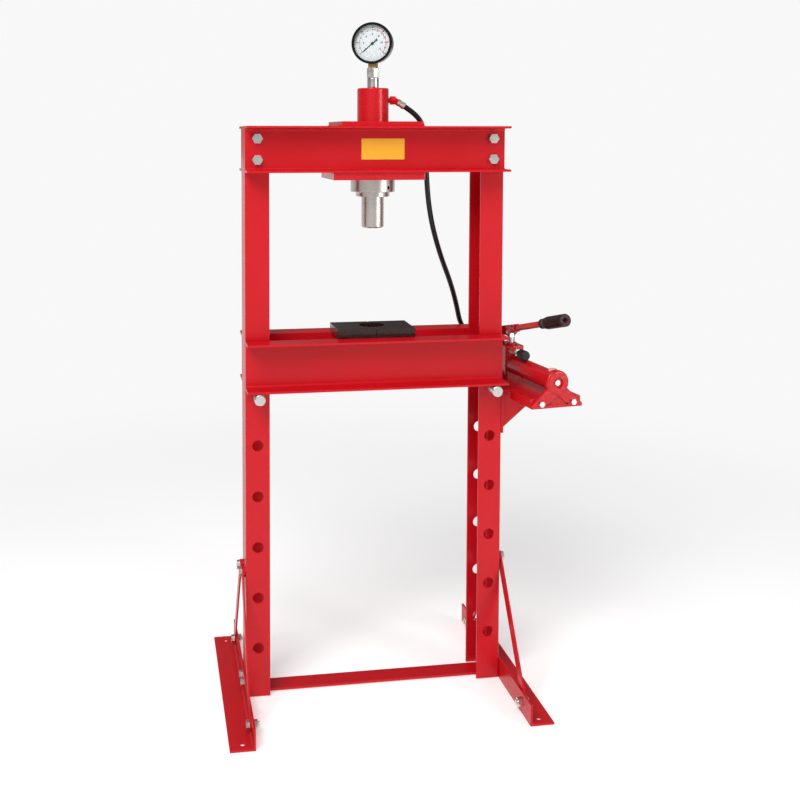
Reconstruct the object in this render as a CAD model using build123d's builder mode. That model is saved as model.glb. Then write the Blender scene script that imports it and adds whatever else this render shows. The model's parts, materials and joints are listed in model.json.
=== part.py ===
"""Floor-standing hydraulic shop press with a hand pump, a pressure gauge and a movable bed.

The frame is two channel posts between two pairs of channel beams. The hydraulic cylinder
hangs in the upper beams, and the bed rests on two pins that pass through the posts.

Axes: +X to the right seen from the front, +Y to the back, +Z up, in millimetres.
Origin: on the floor, under the middle of the ram.
"""
import os
from math import cos, radians, sin

from build123d import *

os.makedirs("parts", exist_ok=True)

# Frame
FRAME_WIDTH = 634.0
POST_DEPTH = 90.0
POST_FLANGE = 58.0
POST_WALL = 5.0
POST_ROOT_RADIUS = 6.0
POST_CORNER_RADIUS = 3.0
POST_FLOOR_GAP = 2.0
FRAME_HEIGHT = 1380.0

# Beams and bed
BEAM_HEIGHT = 109.0
BEAM_FLANGE = 54.0
BEAM_WALL = 5.5
BEAM_ROOT_RADIUS = 6.0
BEAM_TOE_RADIUS = 2.0
BED_HEIGHT = 116.0
BED_POST_GAP = 0.5
BED_SPACER_THICKNESS = 8.0
BED_SPACER_HEIGHT = 60.0
BED_SPACER_POST_GAP = 3.0

# Bed pins and their holes in the posts
PIN_DIAMETER = 26.0
PIN_HOLE_DIAMETER = 27.0
PIN_LENGTH = 208.0
PIN_CHAMFER = 1.5
PIN_HOLE_COUNT = 6
PIN_HOLE_PITCH = 124.0
LOWEST_PIN_HOLE = 121.0
PIN_HOLE_FROM_EDGE = 29.0
BED_PIN_GAP = 0.3

# Fasteners
BEAM_BOLT_DIAMETER = 14.0
BEAM_BOLT_FLATS = 22.0
BEAM_BOLT_HEAD = 8.5
BEAM_BOLT_PITCH = 50.0
BEAM_NUT_HEIGHT = 11.0
FOOT_BOLT_DIAMETER = 12.0
FOOT_BOLT_FLATS = 19.0
FOOT_BOLT_HEAD = 7.5
FOOT_NUT_HEIGHT = 10.0
BOLT_TAIL = 4.0
FOOT_BOLT_SPACING = 36.0

# Plates that carry the cylinder
TOP_PLATE_WIDTH = 197.0
TOP_PLATE_OFFSET = 5.0
TOP_PLATE_THICKNESS = 11.0
BOTTOM_PLATE_WIDTH = 220.0
BOTTOM_PLATE_OFFSET = -2.0
BOTTOM_PLATE_THICKNESS = 18.0
PLATE_DEPTH = 186.0
PLATE_CORNER_RADIUS = 4.0

# Yellow plate on the front beam
RATING_PLATE_WIDTH = 105.0
RATING_PLATE_HEIGHT = 50.0
RATING_PLATE_THICKNESS = 0.8
RATING_PLATE_OFFSET = 14.0

# Feet, braces and the tie bar between the posts
FOOT_LENGTH = 536.0
FOOT_LEG = 50.0
FOOT_BASE = 58.0
FOOT_WALL = 5.0
FOOT_ROOT_RADIUS = 5.0
FOOT_BOLT_HEIGHT = 26.0
ANCHOR_HOLE_DIAMETER = 12.0
ANCHOR_SPACING = 490.0
ANCHOR_HOLE_FROM_POST = 28.0
BRACE_WIDTH = 25.0
BRACE_THICKNESS = 4.0
BRACE_TOP_HEIGHT = 303.0
BRACE_TOP_SPACING = 46.0
BRACE_FOOT_SPACING = 414.0
TIE_BAR_WIDTH = 50.0
TIE_BAR_THICKNESS = 6.0

# Cylinder and ram
BARREL_DIAMETER = 76.0
BARREL_THREAD_DIAMETER = 82.0
BARREL_ABOVE_PLATE = 81.0
BARREL_CHAMFER = 2.0
BARREL_BORE = 60.0
BARREL_END_WALL = 18.0
BARREL_PLATE_GAP = 0.4
BARREL_BELOW_NUT = 11.0
RING_NUT_DIAMETER = 108.0
RING_NUT_HEIGHT = 32.0
RING_NUT_CHAMFER = 1.5
GLAND_DIAMETER = 68.0
GLAND_HEIGHT = 28.0
GLAND_INSET = 2.0
SET_SCREW_DIAMETER = 8.0
SET_SCREW_ANGLE = 33.0
SET_SCREW_LENGTH = 10.0
SET_SCREW_RECESS = 1.5
RAM_DIAMETER = 55.0
RAM_BORE = 34.0
RAM_FLOOR = 30.0
RAM_BELOW_BARREL = 76.5
RAM_CHAMFER = 3.0
RAM_GROOVE_BELOW_BARREL = 13.5
RAM_GROOVE_WIDTH = 2.0
RAM_GROOVE_DEPTH = 1.0
PISTON_HEIGHT = 26.0
PISTON_TOP_GAP = 18.0
PISTON_SEAL_WIDTH = 6.0
PISTON_SEAL_DEPTH = 4.0
SLIDING_GAP = 0.05
SPRING_DIAMETER = 28.0
SPRING_WIRE = 4.0
SPRING_TURNS = 16
SPRING_END_GAP = 1.0

# Gauge
GAUGE_DIAMETER = 100.0
GAUGE_HEIGHT_ABOVE_BARREL = 108.0
GAUGE_TURN = 24.0
GAUGE_CASE_DEPTH = 32.0
GAUGE_CASE_WALL = 2.0
GAUGE_CASE_FILLET = 3.0
GAUGE_BEZEL_DEPTH = 5.0
GAUGE_BEZEL_LIP = 6.5
GAUGE_BEZEL_STEP = 2.0
GAUGE_GLASS_THICKNESS = 3.0
GAUGE_DIAL_THICKNESS = 1.0
GAUGE_DIAL_DEPTH = 8.0
NEEDLE_LENGTH = 31.0
NEEDLE_TAIL = 15.0
NEEDLE_WIDTH = 5.0
NEEDLE_TIP_WIDTH = 1.0
NEEDLE_THICKNESS = 0.8
NEEDLE_LIFT = 1.2
NEEDLE_HUB_DIAMETER = 7.0
NEEDLE_SPINDLE_DIAMETER = 2.0
NEEDLE_REST_ANGLE = 220.0
BOURDON_RADIUS = 30.0
BOURDON_SECTION = 5.0
BOURDON_ARC = 240.0
GAUGE_STEM_SQUARE = 20.0
COUPLING_FLATS = 28.0
COUPLING_HEIGHT = 24.0
ADAPTER_DIAMETER = 28.0
ADAPTER_HEIGHT = 25.0

# Arbor blocks
ARBOR_WIDTH = 95.5
ARBOR_DEPTH = 108.0
ARBOR_THICKNESS = 22.0
ARBOR_HOLE_DIAMETER = 62.0
ARBOR_GAP = 0.4
ARBOR_CHAMFER = 1.0
ARBOR_CENTRE_Y = 2.0
ARBOR_HOLE_Y = 6.0

# Pump. The pump axis is turned outwards at its front end by the pump turn.
PUMP_TURN = 8.0
PUMP_FRONT_X = 421.0
PUMP_FRONT_Y = -150.0
PUMP_AXIS_RISE = 37.0
CAP_DIAMETER = 60.0
CAP_DEPTH = 14.0
CAP_FILLET = 5.0
CAP_FOOT_SET_BACK = 3.0
CAP_RECESS_DIAMETER = 27.0
CAP_RECESS_DEPTH = 4.0
CAP_FOOT_THICKNESS = 8.0
CAP_FOOT_SHOULDER = 27.0
CAP_WINDOW_WIDTH = 64.0
CAP_WINDOW_HEIGHT = 24.0
CAP_WINDOW_RISE = 6.0
CAP_WINDOW_DEPTH = 5.5
END_PLUG_DIAMETER = 13.0
END_PLUG_HEAD = 2.5
FILLER_DIAMETER = 20.0
FILLER_HEIGHT = 6.0
FILLER_FROM_FRONT = 26.0
TUBE_DIAMETER = 47.0
TUBE_WALL = 3.0
TUBE_SOCKET = 4.0
SHELF_TOP_HEIGHT = 731.0
SHELF_HALF_WIDTH = 67.0
SHELF_SKIRT = 23.0
SHELF_WALL = 5.0
SHELF_HOLE_DIAMETER = 7.0
BRACKET_PLATE_THICKNESS = 6.0
BRACKET_PLATE_HEIGHT = 104.0
GUSSET_SPACING = 60.0
GUSSET_THICKNESS = 6.0
GUSSET_REACH = 112.0
GUSSET_TOE = 4.0
GUSSET_DROP = 92.0
BRACKET_BOLT_SPACING = 30.0
BRACKET_BOLT_INSET = 19.0
BRACKET_BOLT_RISE = 60.0
PUMP_SCREW_DIAMETER = 8.0
PUMP_SCREW_FLATS = 13.0
PUMP_SCREW_HEAD = 5.5
CAP_SCREW_SPACING = 85.0
HEAD_FRONT = 216.0
HEAD_LENGTH = 72.0
HEAD_HALF_WIDTH = 26.0
HEAD_HEIGHT = 85.0
HEAD_CORNER_RADIUS = 5.0
HEAD_FLANGE_REACH = 16.0
HEAD_FLANGE_LENGTH = 44.0
HEAD_FLANGE_THICKNESS = 8.0
GLAND_BOSS_DIAMETER = 32.0
GLAND_BOSS_HEIGHT = 5.0

# Pump plunger, lever and handle
PLUNGER_DIAMETER = 16.0
PLUNGER_DEPTH = 48.0
PLUNGER_BORE_BELOW = 16.0
TONGUE_THICKNESS = 12.0
TONGUE_WIDTH = 18.0
TONGUE_BELOW_PIN = 12.0
TONGUE_SIDE_GAP = 0.4
PLUNGER_ARM = 26.0
PLUNGER_PIN_DIAMETER = 8.0
PLUNGER_PIN_DROP = 1.0
PIN_SLOT_PLAY = 1.4
PIN_SLOT_REACH = 2.4
FULCRUM_FROM_HEAD_FRONT = 52.0
FULCRUM_RISE = 33.0
FULCRUM_PIN_DIAMETER = 10.0
EAR_THICKNESS = 7.0
EAR_RADIUS = 12.0
EAR_GAP = 0.5
LEVER_WIDTH = 22.0
LEVER_BOSS_RADIUS = 11.0
PIN_BOSS_RADIUS = 9.0
FORK_CLEARANCE_RADIUS = 13.0
FULCRUM_PIN_END = 2.5
FORK_END = 40.0
SOCKET_END = 66.0
SOCKET_DIAMETER = 21.0
HANDLE_ANGLE = 14.2
HANDLE_DIAMETER = 16.0
HANDLE_WALL = 2.0
HANDLE_SOCKET_START = 44.0
HANDLE_LENGTH = 257.0
GRIP_LENGTH = 110.0
GRIP_END_WALL = 5.0
GRIP_DIAMETER = 31.0
GRIP_NECK_DIAMETER = 25.0
GRIP_NECK_LENGTH = 12.0
GRIP_FLARE = 18.0
GRIP_RING_WIDTH = 3.0
GRIP_EYE_DIAMETER = 12.0
GRIP_GROOVE = 0.8

# Release valve
RELEASE_SIDE = -12.0
RELEASE_BELOW_TOP = 10.0
RELEASE_BOSS_DIAMETER = 20.0
RELEASE_BOSS_LENGTH = 30.0
RELEASE_STEM_DIAMETER = 10.0
RELEASE_STEM_LENGTH = 72.0
RELEASE_COLLAR_DIAMETER = 19.0
RELEASE_COLLAR_LENGTH = 3.0
KNOB_DIAMETER = 25.0
KNOB_LENGTH = 27.0
KNOB_FILLET = 3.0
KNOB_FLUTE_COUNT = 16
KNOB_FLUTE_DIAMETER = 2.0
KNOB_BORE_DEPTH = 20.0

# Hose and its fittings
HOSE_DIAMETER = 13.0
HOSE_TURN_SHARE = 0.45
PORT_HEIGHT_BELOW_TOP = 29.0
PORT_BORE = 6.0
PORT_NECK_DIAMETER = 12.0
PORT_NECK_DEPTH = 4.0
PORT_NECK_LENGTH = 5.0
FITTING_FLATS = 20.0
FITTING_LENGTH = 12.0
FITTING_TUBE_DIAMETER = 14.0
UPPER_FITTING_REACH = 7.0
UPPER_FITTING_SLOPE = 32.0
FERRULE_DIAMETER = 17.0
FERRULE_LENGTH = 20.0
LOWER_PORT_RISE = 47.0
LOWER_ELBOW_CENTRE = 14.0
LOWER_ELBOW_REACH = 18.0
LOWER_FITTING_SLOPE = 26.0
LOWER_FITTING_SWING = 3.0

# Route of the hose: lengths of its runs near the fittings, and three corners between them,
# each as a share of the way down with its offset to the right and to the back
HOSE_FIRST_RUN = 35.5
HOSE_SECOND_RUN = 36.0
HOSE_SECOND_SLOPE = 58.7
HOSE_THIRD_RUN = 70.0
HOSE_THIRD_SLOPE = 85.4
HOSE_LAST_RUN = 75.0
HOSE_UPPER_SHARE = 0.27
HOSE_UPPER_OFFSET = (-28.0, -29.0)
HOSE_MIDDLE_SHARE = 0.50
HOSE_MIDDLE_OFFSET = (-21.5, -16.0)
HOSE_LOWER_SHARE = 0.74
HOSE_LOWER_OFFSET = (3.0, 4.0)

# How far a point may be from a place to count as on it
TOLERANCE = 0.1

# Derived places
POST_FACE = FRAME_WIDTH / 2
POST_FRONT = POST_DEPTH / 2
PIN_HOLE_X = POST_FACE - PIN_HOLE_FROM_EDGE
BEAM_BOTTOM = FRAME_HEIGHT - BEAM_HEIGHT
BEAM_MIDDLE = FRAME_HEIGHT - BEAM_HEIGHT / 2
PIN_HEIGHT = LOWEST_PIN_HOLE + (PIN_HOLE_COUNT - 1) * PIN_HOLE_PITCH
BED_BOTTOM = PIN_HEIGHT + PIN_DIAMETER / 2 + BED_PIN_GAP
BED_TOP = BED_BOTTOM + BED_HEIGHT
BED_WEB = POST_FRONT + BED_POST_GAP
BOTTOM_PLATE_BOTTOM = BEAM_BOTTOM - BOTTOM_PLATE_THICKNESS
TOP_PLATE_TOP = FRAME_HEIGHT + TOP_PLATE_THICKNESS
BARREL_TOP = TOP_PLATE_TOP + BARREL_ABOVE_PLATE
RING_NUT_BOTTOM = BOTTOM_PLATE_BOTTOM - RING_NUT_HEIGHT
BARREL_BOTTOM = RING_NUT_BOTTOM - BARREL_BELOW_NUT
RAM_TIP = BARREL_BOTTOM - RAM_BELOW_BARREL
BORE_TOP = BARREL_TOP - BARREL_END_WALL
PISTON_TOP = BORE_TOP - PISTON_TOP_GAP
PISTON_BOTTOM = PISTON_TOP - PISTON_HEIGHT
GLAND_BOTTOM = BARREL_BOTTOM + GLAND_INSET
GLAND_TOP = GLAND_BOTTOM + GLAND_HEIGHT
GAUGE_CENTRE = BARREL_TOP + GAUGE_HEIGHT_ABOVE_BARREL
ADAPTER_TOP = BARREL_TOP + ADAPTER_HEIGHT
COUPLING_TOP = ADAPTER_TOP + COUPLING_HEIGHT
FOOT_FACE = POST_FACE + FOOT_WALL
SHELF_UNDERSIDE = SHELF_TOP_HEIGHT - SHELF_WALL
SHELF_SKIRT_BOTTOM = SHELF_TOP_HEIGHT - SHELF_SKIRT
PUMP_AXIS_HEIGHT = SHELF_TOP_HEIGHT + PUMP_AXIS_RISE
HEAD_REAR = HEAD_FRONT + HEAD_LENGTH
HEAD_TOP_HEIGHT = SHELF_TOP_HEIGHT + HEAD_HEIGHT
PLUNGER_BOTTOM_HEIGHT = HEAD_TOP_HEIGHT - PLUNGER_DEPTH
PLUNGER_BORE_BOTTOM_HEIGHT = PLUNGER_BOTTOM_HEIGHT - PLUNGER_BORE_BELOW
RELEASE_HEIGHT = HEAD_TOP_HEIGHT - RELEASE_BELOW_TOP
LOWER_PORT_HEIGHT = SHELF_TOP_HEIGHT + LOWER_PORT_RISE
FULCRUM_FROM_FRONT = HEAD_FRONT + FULCRUM_FROM_HEAD_FRONT
FULCRUM_HEIGHT = HEAD_TOP_HEIGHT + FULCRUM_RISE
HANDLE_END = HANDLE_SOCKET_START + HANDLE_LENGTH
GRIP_END = HANDLE_END + GRIP_END_WALL
GRIP_START = GRIP_END - GRIP_LENGTH
BRACKET_PLATE_BOTTOM = SHELF_UNDERSIDE - BRACKET_PLATE_HEIGHT
BRACKET_BOLT_LOW = BRACKET_PLATE_BOTTOM + BRACKET_BOLT_INSET
FULCRUM_TO_PLUNGER = FULCRUM_FROM_FRONT - PLUNGER_ARM
PLUNGER_PIN_HEIGHT = FULCRUM_HEIGHT - PLUNGER_PIN_DROP


def channel_profile(depth, flange, wall, root, toe, corner):
    """Section of a rolled channel: web on local x = 0, flanges towards local +x."""
    half = depth / 2
    with BuildSketch() as section:
        with BuildLine():
            Polyline(
                (0, -half),
                (flange, -half),
                (flange, -half + wall),
                (wall, -half + wall),
                (wall, half - wall),
                (flange, half - wall),
                (flange, half),
                (0, half),
                close=True,
            )
        make_face()
        inner = section.vertices().filter_by_position(Axis.X, wall - TOLERANCE, wall + TOLERANCE)
        fillet(inner, root)
        tips = section.vertices().filter_by_position(Axis.X, flange - TOLERANCE, flange + TOLERANCE)
        inner_tips = [tip for tip in tips if abs(tip.Y) < half - wall / 2]
        fillet(inner_tips, toe)
        backs = [v for v in section.vertices() if abs(v.X) < TOLERANCE and abs(abs(v.Y) - half) < TOLERANCE]
        fillet(backs, corner)
    return section.sketch


def export(part, name):
    """Label a finished piece and write it under its node's name."""
    part.label = name
    export_step(part, f"parts/{name}.step")


# Posts: channels with the web outwards and one row of pin holes through both flanges
POST_SECTION = channel_profile(
    POST_DEPTH, POST_FLANGE, POST_WALL, POST_ROOT_RADIUS, BEAM_TOE_RADIUS, POST_CORNER_RADIUS
)


def make_post(side):
    """One post. Side is -1 for the left post and 1 for the right one."""
    foot = Plane((side * POST_FACE, 0, POST_FLOOR_GAP), x_dir=(-side, 0, 0), z_dir=(0, 0, 1))
    middle_hole = LOWEST_PIN_HOLE + (PIN_HOLE_COUNT - 1) * PIN_HOLE_PITCH / 2
    flange_side = Plane((side * PIN_HOLE_X, POST_FRONT, 0), x_dir=(1, 0, 0), z_dir=(0, -1, 0))
    web_side = Plane((side * POST_FACE, 0, 0), x_dir=(0, 1, 0), z_dir=(1, 0, 0))
    with BuildPart() as post:
        with BuildSketch(foot):
            add(POST_SECTION)
        extrude(amount=FRAME_HEIGHT - POST_FLOOR_GAP)
        with BuildSketch(flange_side):
            with Locations((0, middle_hole)):
                with GridLocations(PIN_HOLE_PITCH, PIN_HOLE_PITCH, 1, PIN_HOLE_COUNT):
                    Circle(PIN_HOLE_DIAMETER / 2)
            with Locations((0, BEAM_MIDDLE)):
                with GridLocations(BEAM_BOLT_PITCH, BEAM_BOLT_PITCH, 1, 2):
                    Circle(BEAM_BOLT_DIAMETER / 2)
        extrude(amount=POST_DEPTH, mode=Mode.SUBTRACT)
        with BuildSketch(web_side):
            with Locations((0, FOOT_BOLT_HEIGHT)):
                with GridLocations(FOOT_BOLT_SPACING, FOOT_BOLT_SPACING, 2, 1):
                    Circle(FOOT_BOLT_DIAMETER / 2)
            with Locations((0, BRACE_TOP_HEIGHT)):
                with GridLocations(BRACE_TOP_SPACING, BRACE_TOP_SPACING, 2, 1):
                    Circle(FOOT_BOLT_DIAMETER / 2)
            if side > 0:
                with Locations((0, BRACKET_BOLT_LOW + BRACKET_BOLT_RISE / 2)):
                    with GridLocations(BRACKET_BOLT_SPACING, BRACKET_BOLT_RISE, 2, 2):
                        Circle(FOOT_BOLT_DIAMETER / 2)
        extrude(amount=POST_WALL, both=True, mode=Mode.SUBTRACT)
    return post.part


export(make_post(-1), "post_left")
export(make_post(1), "post_right")


# Upper beams: one channel before the posts and one behind, flanges outwards
BEAM_SECTION = channel_profile(
    BEAM_HEIGHT, BEAM_FLANGE, BEAM_WALL, BEAM_ROOT_RADIUS, BEAM_TOE_RADIUS, BEAM_TOE_RADIUS
)
BED_SECTION = channel_profile(
    BED_HEIGHT, BEAM_FLANGE, BEAM_WALL, BEAM_ROOT_RADIUS, BEAM_TOE_RADIUS, BEAM_TOE_RADIUS
)


def make_upper_beam(side):
    """One upper beam with its bolt holes. Side is -1 for the front and 1 for the rear."""
    end = Plane(
        (-POST_FACE, side * POST_FRONT, BEAM_MIDDLE), x_dir=(0, side, 0), z_dir=(1, 0, 0)
    )
    web = Plane((0, side * POST_FRONT, BEAM_MIDDLE), x_dir=(1, 0, 0), z_dir=(0, -1, 0))
    with BuildPart() as beam:
        with BuildSketch(end):
            add(BEAM_SECTION)
        extrude(amount=FRAME_WIDTH)
        with BuildSketch(web):
            with GridLocations(2 * PIN_HOLE_X, BEAM_BOLT_PITCH, 2, 2):
                Circle(BEAM_BOLT_DIAMETER / 2)
        extrude(amount=BEAM_WALL, both=True, mode=Mode.SUBTRACT)
    return beam.part


export(make_upper_beam(-1), "upper_beam_front")
export(make_upper_beam(1), "upper_beam_rear")


# Bolts and nuts that hold the beams to the posts, heads outside and nuts inside the channels
BEAM_BOLT_SPOTS = [
    (x, side, z)
    for side in (-1, 1)
    for x in (-PIN_HOLE_X, PIN_HOLE_X)
    for z in (BEAM_MIDDLE - BEAM_BOLT_PITCH / 2, BEAM_MIDDLE + BEAM_BOLT_PITCH / 2)
]
BEAM_GRIP = BEAM_WALL + POST_WALL

with BuildPart() as beam_bolts:
    for x, side, z in BEAM_BOLT_SPOTS:
        seat = Plane((x, side * (POST_FRONT + BEAM_WALL), z), x_dir=(1, 0, 0), z_dir=(0, side, 0))
        with BuildSketch(seat):
            RegularPolygon(BEAM_BOLT_FLATS / 2, 6, major_radius=False)
        extrude(amount=BEAM_BOLT_HEAD)
        with BuildSketch(seat):
            Circle(BEAM_BOLT_DIAMETER / 2)
        extrude(amount=-(BEAM_GRIP + BEAM_NUT_HEIGHT + BOLT_TAIL))
export(beam_bolts.part, "beam_bolts")

with BuildPart() as beam_nuts:
    for x, side, z in BEAM_BOLT_SPOTS:
        inside = Plane((x, side * (POST_FRONT - POST_WALL), z), x_dir=(1, 0, 0), z_dir=(0, -side, 0))
        with BuildSketch(inside):
            RegularPolygon(BEAM_BOLT_FLATS / 2, 6, major_radius=False)
            Circle(BEAM_BOLT_DIAMETER / 2, mode=Mode.SUBTRACT)
        extrude(amount=BEAM_NUT_HEIGHT)
export(beam_nuts.part, "beam_nuts")


# Plates above and below the beams, with a hole for the cylinder
with BuildPart() as top_plate:
    with BuildSketch(Plane.XY.offset(FRAME_HEIGHT)):
        with Locations((TOP_PLATE_OFFSET, 0)):
            RectangleRounded(TOP_PLATE_WIDTH, PLATE_DEPTH, PLATE_CORNER_RADIUS)
        Circle(BARREL_DIAMETER / 2 + BARREL_PLATE_GAP, mode=Mode.SUBTRACT)
    extrude(amount=TOP_PLATE_THICKNESS)
export(top_plate.part, "top_plate")

with BuildPart() as bottom_plate:
    with BuildSketch(Plane.XY.offset(BOTTOM_PLATE_BOTTOM)):
        with Locations((BOTTOM_PLATE_OFFSET, 0)):
            RectangleRounded(BOTTOM_PLATE_WIDTH, PLATE_DEPTH, PLATE_CORNER_RADIUS)
        Circle(BARREL_THREAD_DIAMETER / 2 + BARREL_PLATE_GAP, mode=Mode.SUBTRACT)
    extrude(amount=BOTTOM_PLATE_THICKNESS)
export(bottom_plate.part, "bottom_plate")


# Bare yellow plate on the web of the front beam
with BuildPart() as rating_plate:
    web_front = Plane(
        (RATING_PLATE_OFFSET, -POST_FRONT - BEAM_WALL, BEAM_MIDDLE),
        x_dir=(1, 0, 0),
        z_dir=(0, -1, 0),
    )
    with BuildSketch(web_front):
        RectangleRounded(RATING_PLATE_WIDTH, RATING_PLATE_HEIGHT, 2 * RATING_PLATE_THICKNESS)
    extrude(amount=RATING_PLATE_THICKNESS)
export(rating_plate.part, "rating_plate")


# Flat tie bar between the posts, welded to the inside of their webs near the floor
with BuildPart() as tie_bar:
    with BuildSketch(Plane.XY.offset(POST_FLOOR_GAP)):
        Rectangle(FRAME_WIDTH - 2 * POST_WALL, TIE_BAR_WIDTH)
    extrude(amount=TIE_BAR_THICKNESS)
export(tie_bar.part, "lower_crossbar")


def make_foot(side):
    """Angle-iron foot: one leg up against the post's web, the other outwards on the floor."""
    end = Plane((side * POST_FACE, FOOT_LENGTH / 2, 0), x_dir=(side, 0, 0), z_dir=(0, -side, 0))
    leg_side = Plane((side * POST_FACE, 0, FOOT_BOLT_HEIGHT), x_dir=(0, 1, 0), z_dir=(1, 0, 0))
    anchor_x = POST_FACE + ANCHOR_HOLE_FROM_POST
    up = end.y_dir.Z
    with BuildPart() as foot:
        with BuildSketch(end) as section:
            with BuildLine():
                Polyline(
                    (0, 0),
                    (FOOT_BASE, 0),
                    (FOOT_BASE, up * FOOT_WALL),
                    (FOOT_WALL, up * FOOT_WALL),
                    (FOOT_WALL, up * FOOT_LEG),
                    (0, up * FOOT_LEG),
                    close=True,
                )
            make_face()
        extrude(amount=side * FOOT_LENGTH)
        root = foot.edges().filter_by(Axis.Y).sort_by_distance(
            (side * FOOT_FACE, 0, FOOT_WALL)
        )[0]
        fillet(root, FOOT_ROOT_RADIUS)
        with BuildSketch(leg_side):
            with GridLocations(FOOT_BOLT_SPACING, FOOT_BOLT_SPACING, 2, 1):
                Circle(FOOT_BOLT_DIAMETER / 2)
            with GridLocations(BRACE_FOOT_SPACING, BRACE_FOOT_SPACING, 2, 1):
                Circle(FOOT_BOLT_DIAMETER / 2)
        extrude(amount=FOOT_WALL, both=True, mode=Mode.SUBTRACT)
        with BuildSketch(Plane.XY):
            with Locations((side * anchor_x, 0)):
                with GridLocations(ANCHOR_SPACING, ANCHOR_SPACING, 1, 2):
                    Circle(ANCHOR_HOLE_DIAMETER / 2)
        extrude(amount=FOOT_WALL, mode=Mode.SUBTRACT)
    return foot.part


export(make_foot(-1), "foot_left")
export(make_foot(1), "foot_right")


# Braces: flat bars from the post down to the ends of the foot. A round pad welded on the
# upper end makes up the thickness of the foot's leg.
def make_brace(side, end):
    """Side is -1 left or 1 right; end is -1 front or 1 rear."""
    bar_plane = Plane((side * FOOT_FACE, 0, 0), x_dir=(0, 1, 0), z_dir=(1, 0, 0))
    top = (end * BRACE_TOP_SPACING / 2, BRACE_TOP_HEIGHT)
    bottom = (end * BRACE_FOOT_SPACING / 2, FOOT_BOLT_HEIGHT)
    with BuildPart() as brace:
        with BuildSketch(bar_plane):
            middle = ((top[0] + bottom[0]) / 2, (top[1] + bottom[1]) / 2)
            SlotCenterPoint(middle, top, BRACE_WIDTH)
            with Locations(top, bottom):
                Circle(FOOT_BOLT_DIAMETER / 2, mode=Mode.SUBTRACT)
        extrude(amount=side * BRACE_THICKNESS)
        with BuildSketch(bar_plane):
            with Locations(top):
                Circle(BRACE_WIDTH / 2)
                Circle(FOOT_BOLT_DIAMETER / 2, mode=Mode.SUBTRACT)
        extrude(amount=-side * FOOT_WALL)
    return brace.part


with BuildPart() as braces:
    for side in (-1, 1):
        for end in (-1, 1):
            add(make_brace(side, end))
export(braces.part, "braces")


def bolt(seat, flats, head, diameter, length):
    """Hexagon-head bolt: head rises from the seat plane, shank goes down through it."""
    with BuildPart() as one:
        with BuildSketch(seat):
            RegularPolygon(flats / 2, 6, major_radius=False)
        extrude(amount=head)
        with BuildSketch(seat):
            Circle(diameter / 2)
        extrude(amount=-length)
    return one.part


def nut(seat, flats, height, diameter):
    """Hexagon nut that rises from the seat plane."""
    with BuildPart() as one:
        with BuildSketch(seat):
            RegularPolygon(flats / 2, 6, major_radius=False)
            Circle(diameter / 2, mode=Mode.SUBTRACT)
        extrude(amount=height)
    return one.part


# Bolts and nuts of the feet and the braces
FOOT_BOLT_SEATS = [
    (side, y, FOOT_BOLT_HEIGHT, FOOT_FACE, FOOT_WALL + POST_WALL)
    for side in (-1, 1)
    for y in (-FOOT_BOLT_SPACING / 2, FOOT_BOLT_SPACING / 2)
]
BRACE_BOLT_SEATS = [
    (side, end * spacing / 2, height, FOOT_FACE + BRACE_THICKNESS, BRACE_THICKNESS + grip)
    for side in (-1, 1)
    for end in (-1, 1)
    for spacing, height, grip in (
        (BRACE_TOP_SPACING, BRACE_TOP_HEIGHT, FOOT_WALL + POST_WALL),
        (BRACE_FOOT_SPACING, FOOT_BOLT_HEIGHT, FOOT_WALL),
    )
]


def side_bolts(seats):
    """Bolts with their heads outside, on planes that face away from the frame."""
    with BuildPart() as group:
        for side, y, z, x, grip in seats:
            seat = Plane((side * x, y, z), x_dir=(0, 1, 0), z_dir=(side, 0, 0))
            shank = grip + FOOT_NUT_HEIGHT + BOLT_TAIL
            add(bolt(seat, FOOT_BOLT_FLATS, FOOT_BOLT_HEAD, FOOT_BOLT_DIAMETER, shank))
    return group.part


export(side_bolts(FOOT_BOLT_SEATS + BRACE_BOLT_SEATS), "foot_bolts")

with BuildPart() as foot_nuts:
    for side, y, z, x, grip in FOOT_BOLT_SEATS + BRACE_BOLT_SEATS:
        seat = Plane((side * (x - grip), y, z), x_dir=(0, 1, 0), z_dir=(-side, 0, 0))
        add(nut(seat, FOOT_BOLT_FLATS, FOOT_NUT_HEIGHT, FOOT_BOLT_DIAMETER))


def ring(outer, inner, bottom, top):
    """Round sleeve about the ram axis."""
    with BuildPart() as sleeve:
        with BuildSketch(Plane.XY.offset(bottom)):
            Circle(outer / 2)
            if inner > 0:
                Circle(inner / 2, mode=Mode.SUBTRACT)
        extrude(amount=top - bottom)
    return sleeve.part


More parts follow.
